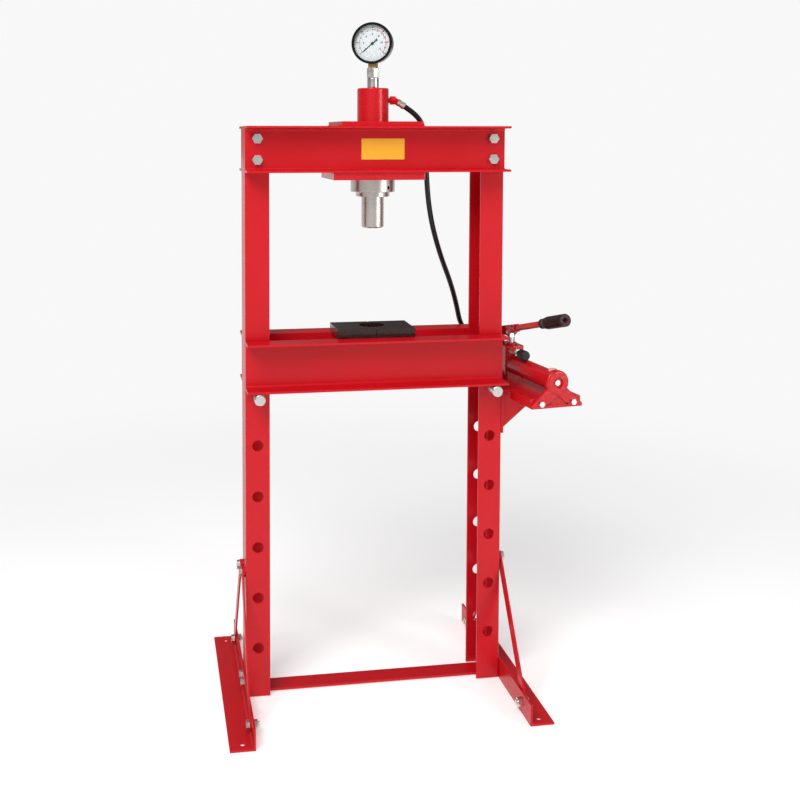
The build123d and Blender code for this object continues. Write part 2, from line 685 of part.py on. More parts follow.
# Cylinder barrel: closed at the top, with a shoulder under the top plate and an oil port
PORT_SIDE = Plane(
    (0, 0, BARREL_TOP - PORT_HEIGHT_BELOW_TOP), x_dir=(0, 1, 0), z_dir=(1, 0, 0)
)
PORT_SEAT = BARREL_DIAMETER / 2 - PORT_NECK_DEPTH
with BuildPart() as barrel:
    with BuildSketch(Plane.XY.offset(BARREL_BOTTOM)):
        Circle(BARREL_THREAD_DIAMETER / 2)
    extrude(amount=FRAME_HEIGHT - BARREL_BOTTOM)
    with BuildSketch(Plane.XY.offset(FRAME_HEIGHT)):
        Circle(BARREL_DIAMETER / 2)
    extrude(amount=BARREL_TOP - FRAME_HEIGHT)
    chamfer(barrel.edges().group_by(Axis.Z)[-1], BARREL_CHAMFER)
    with BuildSketch(Plane.XY.offset(BARREL_BOTTOM)):
        Circle(BARREL_BORE / 2)
    extrude(amount=BORE_TOP - BARREL_BOTTOM, mode=Mode.SUBTRACT)
    with BuildSketch(Plane.XY.offset(BARREL_BOTTOM)):
        Circle(GLAND_DIAMETER / 2)
    extrude(amount=GLAND_TOP - BARREL_BOTTOM, mode=Mode.SUBTRACT)
    with BuildSketch(PORT_SIDE):
        Circle(PORT_BORE / 2)
    extrude(amount=BARREL_DIAMETER / 2, mode=Mode.SUBTRACT)
    with BuildSketch(PORT_SIDE.offset(PORT_SEAT)):
        Circle(PORT_NECK_DIAMETER / 2)
    extrude(amount=2 * PORT_NECK_DEPTH, mode=Mode.SUBTRACT)
    with BuildSketch(Plane.XY.offset(BORE_TOP)):
        Circle(PORT_BORE / 2)
    extrude(amount=BARREL_END_WALL, mode=Mode.SUBTRACT)
export(barrel.part, "cylinder_barrel")

# Gland that guides the ram at the bottom of the barrel
export(
    ring(GLAND_DIAMETER, RAM_DIAMETER + 2 * SLIDING_GAP, GLAND_BOTTOM, GLAND_TOP), "gland"
)

# Ring nut under the bottom plate, with a set screw through its wall
SCREW_SIDE = Plane(
    (0, 0, (RING_NUT_BOTTOM + BOTTOM_PLATE_BOTTOM) / 2 - SET_SCREW_DIAMETER / 2),
    x_dir=(cos(radians(SET_SCREW_ANGLE)), sin(radians(SET_SCREW_ANGLE)), 0),
    z_dir=(sin(radians(SET_SCREW_ANGLE)), -cos(radians(SET_SCREW_ANGLE)), 0),
)
with BuildPart() as ring_nut:
    with BuildSketch(Plane.XY.offset(RING_NUT_BOTTOM)):
        Circle(RING_NUT_DIAMETER / 2)
        Circle(BARREL_THREAD_DIAMETER / 2, mode=Mode.SUBTRACT)
    extrude(amount=RING_NUT_HEIGHT)
    rims = ring_nut.edges().filter_by(GeomType.CIRCLE).group_by(SortBy.RADIUS)[-1]
    chamfer(rims, RING_NUT_CHAMFER)
    with BuildSketch(SCREW_SIDE):
        Circle(SET_SCREW_DIAMETER / 2)
    extrude(amount=RING_NUT_DIAMETER, mode=Mode.SUBTRACT)
export(ring_nut.part, "ring_nut")

SCREW_OUTER = RING_NUT_DIAMETER / 2 - SET_SCREW_RECESS
with BuildPart() as set_screw:
    with BuildSketch(SCREW_SIDE.offset(SCREW_OUTER - SET_SCREW_LENGTH)):
        Circle(SET_SCREW_DIAMETER / 2)
    extrude(amount=SET_SCREW_LENGTH)
    with BuildSketch(SCREW_SIDE.offset(SCREW_OUTER)):
        RegularPolygon(SET_SCREW_DIAMETER / 4, 6, major_radius=False)
    extrude(amount=-SET_SCREW_DIAMETER / 2, mode=Mode.SUBTRACT)
export(set_screw.part, "set_screw")

# Piston ring on top of the hollow ram, with a seal in its groove
PISTON_DIAMETER = BARREL_BORE - 2 * SLIDING_GAP
SEAL_BOTTOM = PISTON_BOTTOM + (PISTON_HEIGHT - PISTON_SEAL_WIDTH) / 2
with BuildPart() as piston:
    with BuildSketch(Plane.XY.offset(PISTON_BOTTOM)):
        Circle(PISTON_DIAMETER / 2)
        Circle(RAM_BORE / 2, mode=Mode.SUBTRACT)
    extrude(amount=PISTON_HEIGHT)
    with BuildSketch(Plane.XY.offset(SEAL_BOTTOM)):
        Circle(PISTON_DIAMETER / 2)
        Circle(PISTON_DIAMETER / 2 - PISTON_SEAL_DEPTH, mode=Mode.SUBTRACT)
    extrude(amount=PISTON_SEAL_WIDTH, mode=Mode.SUBTRACT)
export(piston.part, "piston")
export(
    ring(
        BARREL_BORE - SLIDING_GAP,
        PISTON_DIAMETER - 2 * PISTON_SEAL_DEPTH,
        SEAL_BOTTOM,
        SEAL_BOTTOM + PISTON_SEAL_WIDTH,
    ),
    "piston_seal",
)

# Ram: closed at its lower end, hollow above, with a wear groove below the barrel
with BuildPart() as ram:
    with BuildSketch(Plane.XY.offset(RAM_TIP)):
        Circle(RAM_DIAMETER / 2)
    extrude(amount=PISTON_BOTTOM - RAM_TIP)
    chamfer(ram.edges().group_by(Axis.Z)[0], RAM_CHAMFER)
    with BuildSketch(Plane.XY.offset(RAM_TIP + RAM_FLOOR)):
        Circle(RAM_BORE / 2)
    extrude(amount=PISTON_BOTTOM - RAM_TIP, mode=Mode.SUBTRACT)
    with BuildSketch(Plane.XY.offset(BARREL_BOTTOM - RAM_GROOVE_BELOW_BARREL)):
        Circle(RAM_DIAMETER / 2)
        Circle(RAM_DIAMETER / 2 - RAM_GROOVE_DEPTH, mode=Mode.SUBTRACT)
    extrude(amount=-RAM_GROOVE_WIDTH, mode=Mode.SUBTRACT)
export(ram.part, "ram")

# Return spring inside the ram, between the ram's floor and the end of the bore
SPRING_BOTTOM = RAM_TIP + RAM_FLOOR + SPRING_END_GAP
SPRING_LENGTH = BORE_TOP - SPRING_END_GAP - SPRING_BOTTOM
SPRING_CENTRES = (SPRING_DIAMETER - SPRING_WIRE) / 2
with BuildPart() as spring:
    with BuildLine():
        coil = Helix(
            (SPRING_LENGTH - SPRING_WIRE) / SPRING_TURNS,
            SPRING_LENGTH - SPRING_WIRE,
            SPRING_CENTRES,
            center=(0, 0, SPRING_BOTTOM + SPRING_WIRE / 2),
        )
    with BuildSketch(Plane(coil @ 0, z_dir=coil % 0)):
        Circle(SPRING_WIRE / 2)
    sweep()
export(spring.part, "return_spring")

# Gauge adapter and coupling on top of the barrel
with BuildPart() as adapter:
    with BuildSketch(Plane.XY.offset(BARREL_TOP)):
        Circle(ADAPTER_DIAMETER / 2)
        Circle(PORT_BORE / 2, mode=Mode.SUBTRACT)
    extrude(amount=ADAPTER_HEIGHT)
    chamfer(adapter.edges().filter_by(GeomType.CIRCLE).group_by(SortBy.RADIUS)[-1], GRIP_GROOVE)
export(adapter.part, "gauge_adapter")

with BuildPart() as coupling:
    with BuildSketch(Plane.XY.offset(ADAPTER_TOP)):
        RegularPolygon(COUPLING_FLATS / 2, 6, major_radius=False, rotation=GAUGE_TURN)
        Circle(PORT_BORE / 2, mode=Mode.SUBTRACT)
    extrude(amount=COUPLING_HEIGHT)
export(coupling.part, "gauge_coupling")

# Gauge: its face plane looks forward, turned to the left by the gauge turn
GAUGE_RADIUS = GAUGE_DIAMETER / 2
GAUGE_FACE = Plane(
    (0, 0, GAUGE_CENTRE),
    x_dir=(cos(radians(GAUGE_TURN)), -sin(radians(GAUGE_TURN)), 0),
    z_dir=(-sin(radians(GAUGE_TURN)), -cos(radians(GAUGE_TURN)), 0),
)
CASE_FRONT = GAUGE_CASE_DEPTH / 2
DIAL_FRONT = CASE_FRONT - GAUGE_DIAL_DEPTH
GLASS_BACK = CASE_FRONT - GAUGE_GLASS_THICKNESS
CASE_RADIUS = GAUGE_RADIUS - GAUGE_BEZEL_STEP
DIAL_RADIUS = CASE_RADIUS - GAUGE_CASE_WALL

with BuildPart() as gauge_case:
    with BuildSketch(GAUGE_FACE.offset(-CASE_FRONT)):
        Circle(CASE_RADIUS)
    extrude(amount=GAUGE_CASE_DEPTH)
    case_back_edges = gauge_case.faces().sort_by_distance(GAUGE_FACE.offset(-CASE_FRONT).origin)[0].edges()
    fillet(case_back_edges, GAUGE_CASE_FILLET)
    with BuildSketch(GAUGE_FACE.offset(GAUGE_CASE_WALL - CASE_FRONT)):
        Circle(DIAL_RADIUS)
    extrude(amount=GAUGE_CASE_DEPTH, mode=Mode.SUBTRACT)
    with BuildSketch(Plane.XY.offset(GAUGE_CENTRE - CASE_RADIUS)):
        Rectangle(GAUGE_STEM_SQUARE, GAUGE_STEM_SQUARE, rotation=-GAUGE_TURN)
    extrude(amount=CASE_RADIUS / 2, both=True, mode=Mode.SUBTRACT)
export(gauge_case.part, "gauge_case")

with BuildPart() as gauge_bezel:
    with BuildSketch(GAUGE_FACE.offset(CASE_FRONT - GAUGE_BEZEL_DEPTH)):
        Circle(GAUGE_RADIUS)
        Circle(CASE_RADIUS, mode=Mode.SUBTRACT)
    extrude(amount=GAUGE_BEZEL_DEPTH)
    with BuildSketch(GAUGE_FACE.offset(CASE_FRONT)):
        Circle(GAUGE_RADIUS)
        Circle(GAUGE_RADIUS - GAUGE_BEZEL_LIP, mode=Mode.SUBTRACT)
    extrude(amount=GAUGE_BEZEL_STEP)
export(gauge_bezel.part, "gauge_bezel")

with BuildPart() as gauge_glass:
    with BuildSketch(GAUGE_FACE.offset(GLASS_BACK)):
        Circle(DIAL_RADIUS)
    extrude(amount=GAUGE_GLASS_THICKNESS)
export(gauge_glass.part, "gauge_glass")

with BuildPart() as gauge_dial:
    with BuildSketch(GAUGE_FACE.offset(DIAL_FRONT)):
        Circle(DIAL_RADIUS)
        Circle(NEEDLE_SPINDLE_DIAMETER, mode=Mode.SUBTRACT)
    extrude(amount=-GAUGE_DIAL_THICKNESS)
export(gauge_dial.part, "gauge_dial")

# Needle with a broad tail, its hub and the spindle through the dial, at the zero mark
NEEDLE_WAY = GAUGE_FACE.x_dir * cos(radians(NEEDLE_REST_ANGLE)) + GAUGE_FACE.y_dir * sin(
    radians(NEEDLE_REST_ANGLE)
)
NEEDLE_PLANE = Plane(
    GAUGE_FACE.offset(DIAL_FRONT + NEEDLE_LIFT).origin, x_dir=NEEDLE_WAY, z_dir=GAUGE_FACE.z_dir
)
with BuildPart() as gauge_needle:
    with BuildSketch(NEEDLE_PLANE):
        Polygon(
            (-NEEDLE_TAIL, -NEEDLE_WIDTH / 2),
            (-NEEDLE_TAIL / 2, -NEEDLE_TIP_WIDTH),
            (NEEDLE_LENGTH, -NEEDLE_TIP_WIDTH / 2),
            (NEEDLE_LENGTH, NEEDLE_TIP_WIDTH / 2),
            (-NEEDLE_TAIL / 2, NEEDLE_TIP_WIDTH),
            (-NEEDLE_TAIL, NEEDLE_WIDTH / 2),
            align=None,
        )
        Circle(NEEDLE_HUB_DIAMETER / 2)
    extrude(amount=NEEDLE_THICKNESS)
    with BuildSketch(NEEDLE_PLANE):
        Circle(NEEDLE_SPINDLE_DIAMETER / 2)
    extrude(amount=-NEEDLE_HUB_DIAMETER)
export(gauge_needle.part, "gauge_needle")

# Brass stem: the square shank below the case and the block that carries the curved tube
STEM_BLOCK_TOP = GAUGE_CENTRE - BOURDON_RADIUS
with BuildPart() as gauge_stem:
    with BuildSketch(Plane.XY.offset(COUPLING_TOP)):
        Rectangle(GAUGE_STEM_SQUARE, GAUGE_STEM_SQUARE, rotation=-GAUGE_TURN)
        Circle(PORT_BORE / 2, mode=Mode.SUBTRACT)
    extrude(amount=GAUGE_CENTRE - CASE_RADIUS + GAUGE_CASE_WALL - COUPLING_TOP)
    with BuildSketch(Plane.XY.offset(GAUGE_CENTRE - CASE_RADIUS)):
        Rectangle(GAUGE_STEM_SQUARE, GAUGE_STEM_SQUARE / 2, rotation=-GAUGE_TURN)
    extrude(amount=STEM_BLOCK_TOP - GAUGE_CENTRE + CASE_RADIUS)
export(gauge_stem.part, "gauge_stem")

# Curved pressure tube inside the case
with BuildPart() as gauge_tube:
    with BuildLine(GAUGE_FACE):
        tube_line = CenterArc((0, 0), BOURDON_RADIUS, -90, BOURDON_ARC)
    with BuildSketch(Plane(tube_line @ 0, z_dir=tube_line % 0)):
        Circle(BOURDON_SECTION / 2)
    sweep()
    with BuildSketch(Plane.XY.offset(STEM_BLOCK_TOP)):
        Rectangle(GAUGE_STEM_SQUARE, GAUGE_STEM_SQUARE / 2, rotation=-GAUGE_TURN)
    extrude(amount=-GAUGE_STEM_SQUARE, mode=Mode.SUBTRACT)
export(gauge_tube.part, "gauge_tube")


# Bed: two channels with spacer plates between them, just inside the posts
BED_MIDDLE = BED_BOTTOM + BED_HEIGHT / 2


def make_bed_channel(side):
    """One bed channel. Side is -1 for the front and 1 for the rear."""
    end = Plane((-POST_FACE, side * BED_WEB, BED_MIDDLE), x_dir=(0, side, 0), z_dir=(1, 0, 0))
    with BuildPart() as channel:
        with BuildSketch(end):
            add(BED_SECTION)
        extrude(amount=FRAME_WIDTH)
    return channel.part


export(make_bed_channel(-1), "bed_channel_front")
export(make_bed_channel(1), "bed_channel_rear")

SPACER_X = POST_FACE - POST_FLANGE - BED_SPACER_POST_GAP - BED_SPACER_THICKNESS / 2
with BuildPart() as bed_spacers:
    with Locations((-SPACER_X, 0, BED_MIDDLE), (SPACER_X, 0, BED_MIDDLE)):
        Box(BED_SPACER_THICKNESS, 2 * BED_WEB, BED_SPACER_HEIGHT)
export(bed_spacers.part, "bed_spacers")


# Arbor blocks: two steel blocks that leave a round hole where they meet
def make_arbor_block(side):
    """Side is -1 for the left block and 1 for the right one."""
    middle = side * (ARBOR_WIDTH + ARBOR_GAP) / 2
    with BuildPart() as block:
        with Locations((middle, ARBOR_CENTRE_Y, BED_TOP + ARBOR_THICKNESS / 2)):
            Box(ARBOR_WIDTH, ARBOR_DEPTH, ARBOR_THICKNESS)
        chamfer(block.edges(), ARBOR_CHAMFER)
        with BuildSketch(Plane.XY.offset(BED_TOP)):
            with Locations((0, ARBOR_HOLE_Y)):
                Circle(ARBOR_HOLE_DIAMETER / 2)
        extrude(amount=ARBOR_THICKNESS, mode=Mode.SUBTRACT)
    return block.part


export(make_arbor_block(-1), "arbor_block_left")
export(make_arbor_block(1), "arbor_block_right")


# Bed pins through the posts, under the bed
def make_bed_pin(side):
    """Side is -1 for the left pin and 1 for the right one."""
    front_end = Plane((side * PIN_HOLE_X, -PIN_LENGTH / 2, PIN_HEIGHT), z_dir=(0, 1, 0))
    with BuildPart() as pin:
        with BuildSketch(front_end):
            Circle(PIN_DIAMETER / 2)
        extrude(amount=PIN_LENGTH)
        chamfer(pin.edges().filter_by(GeomType.CIRCLE), PIN_CHAMFER)
    return pin.part


export(make_bed_pin(-1), "bed_pin_left")
export(make_bed_pin(1), "bed_pin_right")


# Pump. Its pieces are drawn in the pump's own frame: x to the right, y to the rear from the
# front face of its end cap, z up from the floor. Then they are set in place.
PUMP_PLACE = Plane(
    (PUMP_FRONT_X, PUMP_FRONT_Y, 0),
    x_dir=(cos(radians(PUMP_TURN)), sin(radians(PUMP_TURN)), 0),
    z_dir=(0, 0, 1),
)


def export_on_pump(part, name):
    """Move a piece from the pump's own frame to its place on the press and write it."""
    export(part.moved(PUMP_PLACE.location), name)


def in_pump_frame(x, y):
    """A point of the press's plan seen in the pump's own frame."""
    point = PUMP_PLACE.to_local_coords(Vector(x, y, 0))
    return (point.X, point.Y)


def facing_front(y, x=0.0, z=PUMP_AXIS_HEIGHT):
    """Plane square to the pump axis, with its normal to the front."""
    return Plane((x, y, z), x_dir=(1, 0, 0), z_dir=(0, -1, 0))


# End cap with its triangular foot, a sunk window in the foot and a recess for the plug
CAP_FOOT_FRONT = CAP_FOOT_SET_BACK
CAP_FOOT_BACK = CAP_FOOT_FRONT + CAP_FOOT_THICKNESS
FOOT_SLOPE_TOP = PUMP_AXIS_HEIGHT - CAP_DIAMETER / 4
with BuildPart() as end_cap:
    with BuildSketch(facing_front(CAP_DEPTH)):
        Circle(CAP_DIAMETER / 2)
    extrude(amount=CAP_DEPTH)
    fillet(end_cap.edges().group_by(Axis.Y)[0], CAP_FILLET)
    with BuildSketch(facing_front(CAP_FOOT_BACK, z=0)):
        Polygon(
            (-SHELF_HALF_WIDTH, SHELF_SKIRT_BOTTOM),
            (SHELF_HALF_WIDTH, SHELF_SKIRT_BOTTOM),
            (SHELF_HALF_WIDTH, SHELF_SKIRT_BOTTOM + CAP_FOOT_THICKNESS),
            (CAP_FOOT_SHOULDER, FOOT_SLOPE_TOP),
            (-CAP_FOOT_SHOULDER, FOOT_SLOPE_TOP),
            (-SHELF_HALF_WIDTH, SHELF_SKIRT_BOTTOM + CAP_FOOT_THICKNESS),
            align=None,
        )
    extrude(amount=CAP_FOOT_THICKNESS)
    with BuildSketch(facing_front(CAP_FOOT_FRONT, z=0)):
        Polygon(
            (-CAP_WINDOW_WIDTH / 2, SHELF_SKIRT_BOTTOM + CAP_WINDOW_RISE),
            (CAP_WINDOW_WIDTH / 2, SHELF_SKIRT_BOTTOM + CAP_WINDOW_RISE),
            (0, SHELF_SKIRT_BOTTOM + CAP_WINDOW_RISE + CAP_WINDOW_HEIGHT),
            align=None,
        )
    extrude(amount=-CAP_WINDOW_DEPTH, mode=Mode.SUBTRACT)
    with BuildSketch(facing_front(0)):
        Circle(CAP_RECESS_DIAMETER / 2)
    extrude(amount=-CAP_RECESS_DEPTH, mode=Mode.SUBTRACT)
    with BuildSketch(facing_front(0)):
        Circle(END_PLUG_DIAMETER / 4)
    extrude(amount=-CAP_DEPTH, mode=Mode.SUBTRACT)
    with BuildSketch(facing_front(CAP_DEPTH)):
        Circle(TUBE_DIAMETER / 2)
    extrude(amount=TUBE_SOCKET, mode=Mode.SUBTRACT)
    CAP_SCREW_HEIGHT = (SHELF_SKIRT_BOTTOM + SHELF_TOP_HEIGHT) / 2
    with BuildSketch(facing_front(CAP_FOOT_BACK, z=CAP_SCREW_HEIGHT)):
        with GridLocations(CAP_SCREW_SPACING, CAP_SCREW_SPACING, 2, 1):
            Circle(PUMP_SCREW_DIAMETER / 2)
    extrude(amount=CAP_FOOT_THICKNESS, mode=Mode.SUBTRACT)
export_on_pump(end_cap.part, "end_cap")

with BuildPart() as end_plug:
    with BuildSketch(facing_front(CAP_RECESS_DEPTH)):
        Circle(END_PLUG_DIAMETER / 2)
    extrude(amount=END_PLUG_HEAD)
    with BuildSketch(facing_front(CAP_RECESS_DEPTH)):
        Circle(END_PLUG_DIAMETER / 4)
    extrude(amount=-(CAP_DEPTH - CAP_RECESS_DEPTH - TUBE_SOCKET))
export_on_pump(end_plug.part, "end_plug")

# Oil reservoir tube between the end cap and the pump head
TUBE_FRONT = CAP_DEPTH - TUBE_SOCKET
TUBE_BACK = HEAD_FRONT + TUBE_SOCKET
with BuildPart() as reservoir_tube:
    with BuildSketch(facing_front(TUBE_BACK)):
        Circle(TUBE_DIAMETER / 2)
        Circle(TUBE_DIAMETER / 2 - TUBE_WALL, mode=Mode.SUBTRACT)
    extrude(amount=TUBE_BACK - TUBE_FRONT)
    with BuildSketch(Plane((0, FILLER_FROM_FRONT, PUMP_AXIS_HEIGHT))):
        Circle(FILLER_DIAMETER / 4)
    extrude(amount=TUBE_DIAMETER, mode=Mode.SUBTRACT)
export_on_pump(reservoir_tube.part, "reservoir_tube")

# Filler plug on top of the tube
FILLER_SEAT = PUMP_AXIS_HEIGHT + TUBE_DIAMETER / 2
with BuildPart() as filler_plug:
    with BuildSketch(Plane((0, FILLER_FROM_FRONT, FILLER_SEAT))):
        Circle(FILLER_DIAMETER / 2)
    extrude(amount=FILLER_HEIGHT)
    chamfer(filler_plug.edges().group_by(Axis.Z)[-1], GRIP_GROOVE)
    with BuildSketch(Plane((0, FILLER_FROM_FRONT, FILLER_SEAT))):
        Circle(FILLER_DIAMETER / 4)
    extrude(amount=-TUBE_WALL)
export_on_pump(filler_plug.part, "filler_plug")

# Shelf that carries the pump, with a tab to the post, a plate on the post and two gussets
SHELF_FRONT = CAP_FOOT_BACK
SHELF_REAR = HEAD_REAR + HEAD_FLANGE_REACH
HEAD_MIDDLE = (HEAD_FRONT + HEAD_REAR) / 2
HEAD_SCREW_SPACING = 2 * HEAD_HALF_WIDTH + HEAD_FLANGE_REACH
PLATE_OUTER = POST_FACE + BRACKET_PLATE_THICKNESS
with BuildPart() as bracket:
    with BuildSketch(Plane.XY.offset(SHELF_UNDERSIDE)):
        with Locations((0, (SHELF_FRONT + SHELF_REAR) / 2)):
            Rectangle(2 * SHELF_HALF_WIDTH, SHELF_REAR - SHELF_FRONT)
        Polygon(
            in_pump_frame(POST_FACE, -POST_FRONT),
            in_pump_frame(PUMP_FRONT_X, -POST_FRONT),
            in_pump_frame(PUMP_FRONT_X, POST_FRONT),
            in_pump_frame(POST_FACE, POST_FRONT),
            align=None,
        )
    extrude(amount=SHELF_WALL)
    with BuildSketch(Plane.XY.offset(SHELF_SKIRT_BOTTOM)):
        with Locations((0, SHELF_FRONT + SHELF_WALL / 2)):
            Rectangle(2 * SHELF_HALF_WIDTH, SHELF_WALL)
        with Locations((SHELF_HALF_WIDTH - SHELF_WALL / 2, (SHELF_FRONT + SHELF_REAR) / 2)):
            Rectangle(SHELF_WALL, SHELF_REAR - SHELF_FRONT)
    extrude(amount=SHELF_SKIRT)
    LEFT_SKIRT_LENGTH = in_pump_frame(PUMP_FRONT_X - SHELF_HALF_WIDTH, -POST_FRONT)[1] - SHELF_FRONT
    with BuildSketch(Plane.XY.offset(SHELF_SKIRT_BOTTOM)):
        with Locations((-SHELF_HALF_WIDTH + SHELF_WALL / 2, SHELF_FRONT + LEFT_SKIRT_LENGTH / 2)):
            Rectangle(SHELF_WALL, LEFT_SKIRT_LENGTH)
    extrude(amount=SHELF_SKIRT)
    with BuildSketch(facing_front(SHELF_FRONT, z=CAP_SCREW_HEIGHT)):
        with GridLocations(CAP_SCREW_SPACING, CAP_SCREW_SPACING, 2, 1):
            Circle(PUMP_SCREW_DIAMETER / 2)
    extrude(amount=-SHELF_WALL, mode=Mode.SUBTRACT)
    with BuildSketch(Plane.XY.offset(SHELF_UNDERSIDE)):
        with Locations((PUMP_SCREW_FLATS - SHELF_HALF_WIDTH, HEAD_FRONT / 2)):
            Circle(SHELF_HOLE_DIAMETER / 2)
        with Locations((0, HEAD_MIDDLE)):
            with GridLocations(HEAD_SCREW_SPACING, HEAD_SCREW_SPACING, 2, 1):
                Circle(PUMP_SCREW_DIAMETER / 2)
    extrude(amount=SHELF_WALL, mode=Mode.SUBTRACT)

PLATE_SIDE = Plane((POST_FACE, 0, 0), x_dir=(0, 1, 0), z_dir=(1, 0, 0))
BRACKET_BOLT_GRID = BRACKET_BOLT_LOW + BRACKET_BOLT_RISE / 2
GUSSET_CORNER = (PLATE_OUTER, SHELF_UNDERSIDE)
with BuildPart() as pump_bracket:
    add(bracket.part.moved(PUMP_PLACE.location))
    with BuildSketch(PLATE_SIDE):
        with Locations((0, (BRACKET_PLATE_BOTTOM + SHELF_UNDERSIDE) / 2)):
            Rectangle(POST_DEPTH, SHELF_UNDERSIDE - BRACKET_PLATE_BOTTOM)
        with Locations((0, BRACKET_BOLT_GRID)):
            with GridLocations(BRACKET_BOLT_SPACING, BRACKET_BOLT_RISE, 2, 2):
                Circle(FOOT_BOLT_DIAMETER / 2, mode=Mode.SUBTRACT)
    extrude(amount=BRACKET_PLATE_THICKNESS)
    for y in (-GUSSET_SPACING / 2, GUSSET_SPACING / 2):
        with BuildSketch(Plane((0, y, 0), x_dir=(1, 0, 0), z_dir=(0, -1, 0))):
            Polygon(
                GUSSET_CORNER,
                (PLATE_OUTER + GUSSET_REACH, SHELF_UNDERSIDE),
                (PLATE_OUTER + GUSSET_TOE, SHELF_UNDERSIDE - GUSSET_DROP),
                (PLATE_OUTER, SHELF_UNDERSIDE - GUSSET_DROP),
                align=None,
            )
        extrude(amount=GUSSET_THICKNESS / 2, both=True)
export(pump_bracket.part, "pump_bracket")

# Bolts and nuts of the bracket
BRACKET_BOLT_SPOTS = [
    (y, z)
    for y in (-BRACKET_BOLT_SPACING / 2, BRACKET_BOLT_SPACING / 2)
    for z in (BRACKET_BOLT_LOW, BRACKET_BOLT_LOW + BRACKET_BOLT_RISE)
]
BRACKET_GRIP = BRACKET_PLATE_THICKNESS + POST_WALL
with BuildPart() as bracket_bolts:
    for y, z in BRACKET_BOLT_SPOTS:
        seat = Plane((PLATE_OUTER, y, z), x_dir=(0, 1, 0), z_dir=(1, 0, 0))
        shank = BRACKET_GRIP + FOOT_NUT_HEIGHT + BOLT_TAIL
        add(bolt(seat, FOOT_BOLT_FLATS, FOOT_BOLT_HEAD, FOOT_BOLT_DIAMETER, shank))
export(bracket_bolts.part, "bracket_bolts")

# Nuts of the feet and the braces, then those of the bracket
with BuildPart() as frame_nuts:
    add(foot_nuts.part)
    for y, z in BRACKET_BOLT_SPOTS:
        seat = Plane((PLATE_OUTER - BRACKET_GRIP, y, z), x_dir=(0, 1, 0), z_dir=(-1, 0, 0))
        add(nut(seat, FOOT_BOLT_FLATS, FOOT_NUT_HEIGHT, FOOT_BOLT_DIAMETER))
export(frame_nuts.part, "frame_nuts")

# Screws and nuts of the pump: two through the cap's foot, two through the head's flanges
CAP_SCREW_X = CAP_SCREW_SPACING / 2
HEAD_SCREW_X = HEAD_SCREW_SPACING / 2
FLANGE_TOP = SHELF_TOP_HEIGHT + HEAD_FLANGE_THICKNESS
PUMP_SCREW_GRIP = HEAD_FLANGE_THICKNESS + SHELF_WALL
PUMP_SCREW_LENGTH = PUMP_SCREW_GRIP + PUMP_SCREW_DIAMETER
PUMP_SCREW_SEATS = [
    facing_front(CAP_FOOT_FRONT, -CAP_SCREW_X, CAP_SCREW_HEIGHT),
    facing_front(CAP_FOOT_FRONT, CAP_SCREW_X, CAP_SCREW_HEIGHT),
    Plane((-HEAD_SCREW_X, HEAD_MIDDLE, FLANGE_TOP)),
    Plane((HEAD_SCREW_X, HEAD_MIDDLE, FLANGE_TOP)),
]
with BuildPart() as pump_screws:
    for seat in PUMP_SCREW_SEATS:
        add(bolt(seat, PUMP_SCREW_FLATS, PUMP_SCREW_HEAD, PUMP_SCREW_DIAMETER, PUMP_SCREW_LENGTH))
export_on_pump(pump_screws.part, "pump_screws")

with BuildPart() as pump_nuts:
    for seat in PUMP_SCREW_SEATS:
        under = Plane(seat.offset(-PUMP_SCREW_GRIP).origin, x_dir=seat.x_dir, z_dir=-seat.z_dir)
        add(nut(under, PUMP_SCREW_FLATS, PUMP_SCREW_HEAD, PUMP_SCREW_DIAMETER))
export_on_pump(pump_nuts.part, "pump_nuts")


